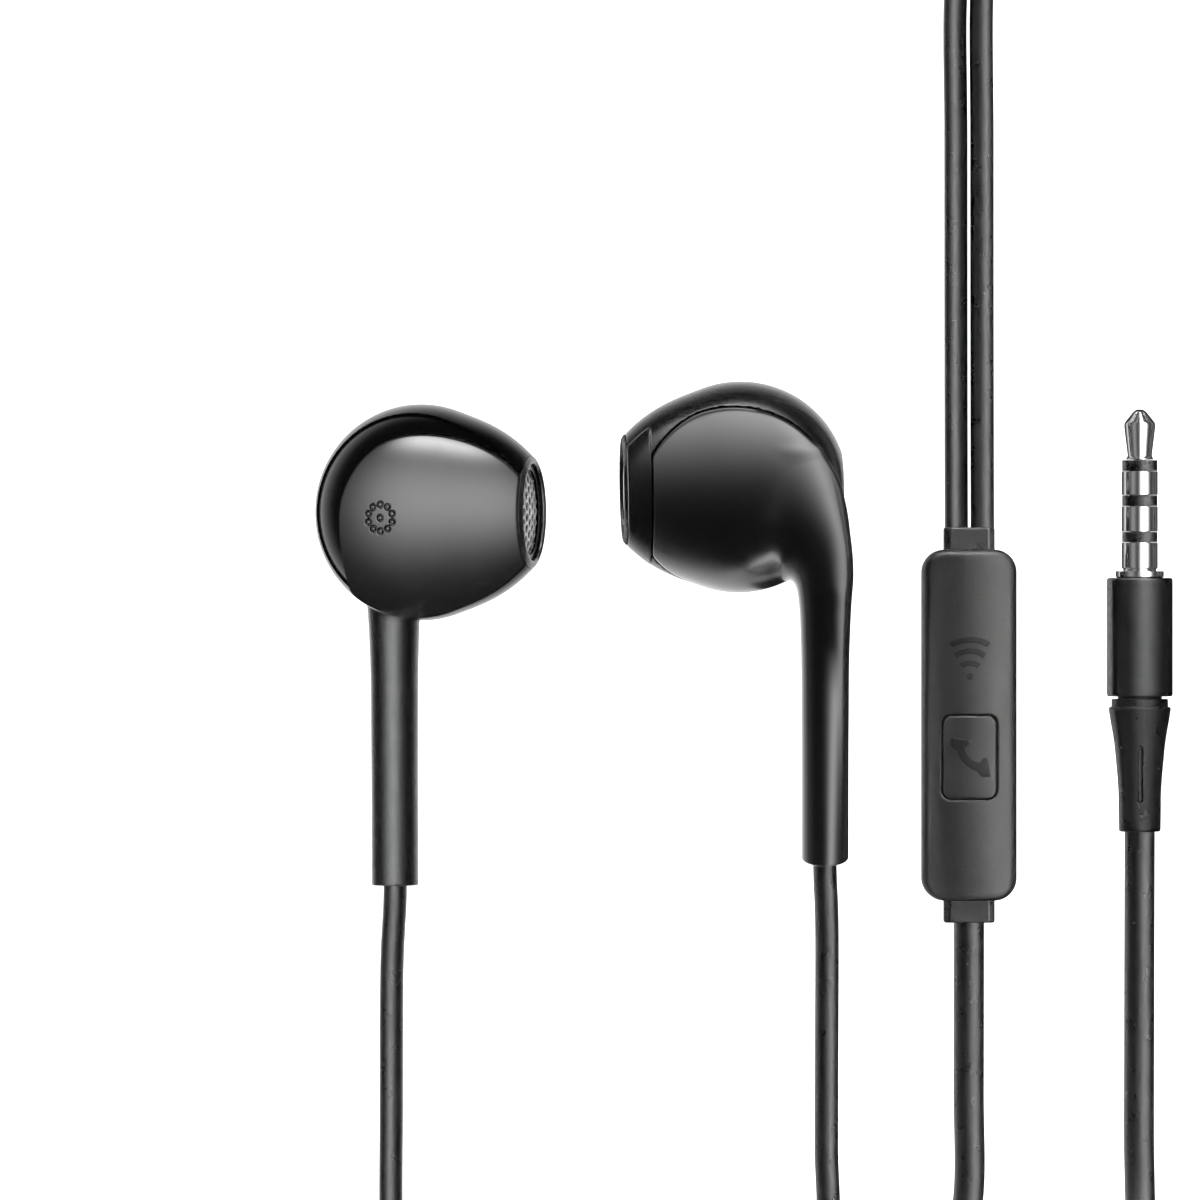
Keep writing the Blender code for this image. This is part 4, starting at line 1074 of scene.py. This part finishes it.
TIP_PROFILE = (
    (23.42, 0.0),
    (23.42, 0.3),
    (23.2, 0.62),
    (22.1, 1.5),
    (21.75, 1.52),
    (18.86, 1.17),
    (18.55, 1.42),
    (18.55, 0.5),
    (3.6, 0.5),
    (3.6, 0.0),
)
SLEEVE_PROFILE = (
    (10.52, 1.1),
    (10.52, 1.75),
    (8.05, 1.75),
    (7.95, 1.6),
    (7.75, 1.6),
    (7.75, 2.34),
    (7.15, 2.34),
    (7.15, 2.2),
    (3.2, 2.2),
    (3.2, 1.1),
)
BARREL_PROFILE = ((7.1, 2.45), (7.1, 3.2), (-4.4, 3.2), (-4.4, 2.5))
INSULATOR_ENDS, INSULATOR_R = ((18.5, 17.45), (15.1, 14.05), (11.55, 10.55)), 1.72
CONTACT_ENDS, CONTACT_R = ((17.42, 15.13), (14.02, 11.58)), 1.75
CONTACT_BORE_R = 1.1


def make_plug():
    pieces = []

    def turn(name, node, profile, finish, radius, closed=True):
        pieces.append(settle(turned_piece(name, profile, plug_matrix, radius, closed), node, finish))

    turn("plug_tip_form", "plug_tip_contact", TIP_PROFILE, "chrome", 0.16, False)
    for kind, node, ends, outer, finish, radius in (
        ("insulator", "plug_insulator", INSULATOR_ENDS, INSULATOR_R, "satin_black", 0.05),
        ("ring", "plug_ring_contact", CONTACT_ENDS, CONTACT_R, "chrome", 0.07),
    ):
        for number, (front, back) in enumerate(ends, 1):
            ring = ((back, CONTACT_BORE_R), (front, CONTACT_BORE_R), (front, outer), (back, outer))
            turn(f"plug_{kind}_{number}_form", f"{node}_{number}", ring, finish, radius)
    turn("plug_sleeve_form", "plug_sleeve_contact", SLEEVE_PROFILE, "chrome", 0.08)
    turn("plug_barrel_form", "plug_barrel", BARREL_PROFILE, "gloss_black", 0.28)
    boot = field_piece("plug_boot_form", boot_field, (-17.9, -3.4, -3.4), (-1.9, 3.4, 3.4), 0.1, plug_matrix)
    pieces.append(settle(boot, "plug_boot", "rubber", finish="soft_rubber"))
    return pieces


declare_cords(make_plug())

# ------------------------------------------------------------------ CAD nodes that stay

CARRIED = {
    "steel": ("driver_basket", "driver_yoke", "cord_clamp", "switch_case", "microphone", "plug_crimp"),
    "magnet": ("driver_magnet",),
    "copper": ("voice_coil",),
    "film": ("diaphragm",),
    "felt": ("vent_felt",),
    "rubber": ("switch_plunger",),
    "board": ("circuit_board",),
    "satin_black": ("plug_core",),
}


def dress_carried_nodes():
    for finish, endings in CARRIED.items():
        for name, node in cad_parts.items():
            if name.endswith(endings):
                node.data.materials.clear()
                node.data.materials.append(FINISHES[finish])


dress_carried_nodes()

# ------------------------------------------------------------------ studio


def gaussian(nodes, value, centre, width):
    away = nodes.math("DIVIDE", nodes.math("SUBTRACT", value, centre), width)
    return nodes.math("EXPONENT", nodes.math("MULTIPLY", nodes.math("MULTIPLY", away, away), -0.5))


def make_tent(name, radius, lobes, base, receivers, centre=(0.0, 0.0, 0.0), stretch=1.0):
    """A dome of soft light, drawn out along Y by stretch, that shines on some of the pieces only.

    A lobe has its strength, then the centre and width in degrees round Y from straight up towards +X, then
    those up from there towards +Y, then masks: a share of z or an angle towards +Y, with where it is dark and
    where it is full.
    """
    bm = bmesh.new()
    bmesh.ops.create_uvsphere(bm, u_segments=48, v_segments=24, radius=radius)
    mesh = bpy.data.meshes.new(name)
    bm.to_mesh(mesh)
    bm.free()
    tent = bpy.data.objects.new(name, mesh)
    tent.location = Vector(centre) * MM
    tent.scale.y = stretch
    bpy.context.scene.collection.objects.link(tent)
    nodes = Nodes(name)
    place = nodes.add("ShaderNodeTexCoord").outputs["Object"]
    unit = nodes.add("ShaderNodeVectorMath", {0: place}, operation="NORMALIZE").outputs["Vector"]
    x, y, z = nodes.add("ShaderNodeSeparateXYZ", {0: unit}).outputs
    degree = 180 / math.pi
    round_y = nodes.math("MULTIPLY", nodes.math("ARCTAN2", x, z), degree)
    to_y = nodes.math("MULTIPLY", nodes.math("ARCSINE", y), degree)
    total = base
    for strength, around, along, masks in lobes:
        glow = strength
        for angle, spot in ((round_y, around), (to_y, along)):
            if spot:
                glow = nodes.math("MULTIPLY", glow, gaussian(nodes, angle, *spot))
        for kind, dark, full in masks:
            value = {"z": z, "to_y": to_y}[kind]
            share = nodes.spread(value, 0.0, 1.0, (dark, full))
            if dark > full:
                share = nodes.spread(value, 1.0, 0.0, (full, dark))
            glow = nodes.math("MULTIPLY", glow, share)
        total = nodes.math("ADD", glow, total)
    light = nodes.add("ShaderNodeEmission", {"Color": (1, 1, 1, 1), "Strength": total})
    clear = nodes.add("ShaderNodeBsdfTransparent")
    both = nodes.add("ShaderNodeAddShader", {0: light.outputs[0], 1: clear.outputs[0]})
    nodes.tree.links.new(both.outputs[0], nodes.tree.nodes["Material Output"].inputs["Surface"])
    nodes.tree.nodes.remove(nodes.shader)
    nodes.material.cycles.emission_sampling = "NONE"
    mesh.materials.append(nodes.material)
    tent.visible_camera = False
    tent.visible_shadow = False
    group = bpy.data.collections.new(name + "_receivers")
    for obj in receivers:
        group.objects.link(obj)
    tent.light_linking.receiver_collection = group
    tent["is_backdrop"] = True


ABOVE = (("z", 0.05, 0.25),)
COVER_LOBES = (
    (4.4, (-28.0, 32.0), (12.0, 32.0), ()),
    (4.4, (36.0, 32.0), (12.0, 32.0), ()),
    (15.0, None, (74.0, 10.0), ABOVE),
)
LEFT_LOBES = (
    (6.0, (-9.0, 24.0), (5.0, 50.0), ()),
    (12.0, None, (74.0, 10.0), ABOVE),
    (2.0, (-150.0, 22.0), None, ()),
    (1.6, (140.0, 22.0), None, ()),
)
RIGHT_EARBUD_LOBES = (
    (7.8, None, (85.0, 28.0), ABOVE),
    (4.4, (78.0, 20.0), None, (("to_y", -30.0, -16.0),)),
    (2.4, (-150.0, 32.0), None, ()),
    (2.0, (150.0, 40.0), None, (("to_y", -42.0, -56.0),)),
)
RIGHT_STEM_LOBES = ((6.5, (42.0, 18.0), None, (("to_y", 27.0, 16.0),)),)
OTHER_LOBES = (
    (5.5, (44.0, 24.0), (0.0, 55.0), ()),
    (8.5, None, (66.0, 20.0), ABOVE),
    (1.6, (-118.0, 24.0), (0.0, 60.0), ()),
)
REMOTE_LOBES = (
    (5.5, (44.0, 22.0), (0.0, 55.0), ()),
    (3.2, (-50.0, 7.0), None, ()),
    (8.5, None, (66.0, 20.0), ABOVE),
    (1.6, (-118.0, 24.0), (0.0, 60.0), ()),
)
PLUG_LOBES = (
    (3.3, (20.0, 24.0), (0.0, 55.0), ()),
    (8.5, None, (66.0, 20.0), ABOVE),
    (1.6, (-118.0, 24.0), (0.0, 60.0), ()),
)
CHROME_LOBES = (
    (6.0, (29.0, 13.5), None, ()),
    (0.27, (-44.0, 13.0), None, ()),
    (0.85, (-107.0, 12.0), None, ()),
    (0.17, (108.0, 12.0), None, ()),
)
LEFT_HOUSING_LOBES = ((1.3, None, None, (("z", -0.3, -0.8),)),)
RIGHT_HOUSING_LOBES = (
    (1.3, None, None, (("z", -0.3, -0.8),)),
    (9.0, None, (85.0, 28.0), ABOVE),
)
DIM = 0.02
TENTS = (  # name, pieces, radius in metres, lobes, even light, and for a near one its centre and stretch
    ("cover_tent", "cover", 3.0, COVER_LOBES, DIM),
    ("left_housing_tent", "left_housing", 3.05, LEFT_HOUSING_LOBES, DIM),
    ("right_housing_tent", "right_housing", 3.1, RIGHT_HOUSING_LOBES, 0.055),
    ("remote_tent", "remote", 3.25, REMOTE_LOBES, DIM),
    ("plug_tent", "plug", 3.3, PLUG_LOBES, DIM),
    ("chrome_tent", "chrome", 3.35, CHROME_LOBES, 0.05),
    ("left_tent", "left", 3.15, LEFT_LOBES, DIM),
    ("other_tent", "other", 3.2, OTHER_LOBES, DIM),
    ("right_tent", "right", 0.06, RIGHT_EARBUD_LOBES, 0.03, (15.5, -6.0, 8.0)),
    ("right_stem_tent", "right", 0.012, RIGHT_STEM_LOBES, 0.0, (15.5, -20.0, 6.0), 3.0),
)
OWN_LIGHT = {
    "cover": ("left_inner_cover_form",),
    "left_housing": ("left_nozzle_housing_form",),
    "right_housing": ("right_nozzle_housing_form",),
    "remote": (
        "remote_front_cover_form",
        "remote_wave_symbol",
        "call_button_form",
        "call_button_handset_symbol",
    ),
    "plug": ("plug_barrel_form", "plug_boot_form"),
    "chrome": ("plug_tip_form", "plug_ring_1_form", "plug_ring_2_form", "plug_sleeve_form"),
    "other": ("right_nozzle_trim_form", "right_branch_cord_form"),
}
FLOOR_REACH, FLOOR_DROP, FLOOR_LIGHT, WORLD_STRENGTH = 5.0, 0.00003, 7.0, 0.25


def make_studio():
    bm = bmesh.new()
    bmesh.ops.create_grid(bm, x_segments=1, y_segments=1, size=FLOOR_REACH)
    mesh = bpy.data.meshes.new("floor")
    bm.to_mesh(mesh)
    bm.free()
    floor = bpy.data.objects.new("floor", mesh)
    floor.location.z = -FLOOR_DROP
    bpy.context.scene.collection.objects.link(floor)
    floor_look = Nodes("floor")
    floor_look.feed(
        floor_look.shader.inputs["Base Color"],
        floor_look.blend(floor_look.noise(3.0), (0.9, 0.9, 0.9), (0.93, 0.93, 0.93)),
    )
    floor_look.shader.inputs["Roughness"].default_value = 0.9
    mesh.materials.append(floor_look.material)
    floor.visible_glossy = False
    floor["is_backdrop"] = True

    world = bpy.data.worlds.new("studio")
    world.use_nodes = True
    background = world.node_tree.nodes["Background"]
    background.inputs["Color"].default_value = (0.95, 0.96, 1.0, 1.0)
    background.inputs["Strength"].default_value = WORLD_STRENGTH
    world.cycles_visibility.glossy = False
    bpy.context.scene.world = world
    bpy.context.scene.view_settings.view_transform = "Standard"

    sun = bpy.data.lights.new("floor_light", "SUN")
    sun.energy = FLOOR_LIGHT
    sun.use_shadow = False
    lamp = bpy.data.objects.new("floor_light", sun)
    bpy.context.scene.collection.objects.link(lamp)
    lit = bpy.data.collections.new("floor_light_receivers")
    lit.objects.link(floor)
    lamp.light_linking.receiver_collection = lit

    pieces = [o for o in bpy.context.scene.objects if o.type in ("MESH", "CURVE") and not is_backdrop(o)]
    groups = {name: [] for name in (*OWN_LIGHT, "left", "right", "other")}
    own_group = {name: group for group, names in OWN_LIGHT.items() for name in names}
    for piece in pieces:
        side = piece.name.split("_")[0]
        group = side if side in EARBUDS else "other"
        groups[own_group.get(piece.name, group)].append(piece)
    for name, group, radius, lobes, base, *place in TENTS:
        make_tent(name, radius, lobes, base, groups[group], *place)


make_studio()

sizes = {"cad": cad_bounds, "visual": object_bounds()}
{key: [list(map(float, corner)) for corner in value] for key, value in sizes.items()}
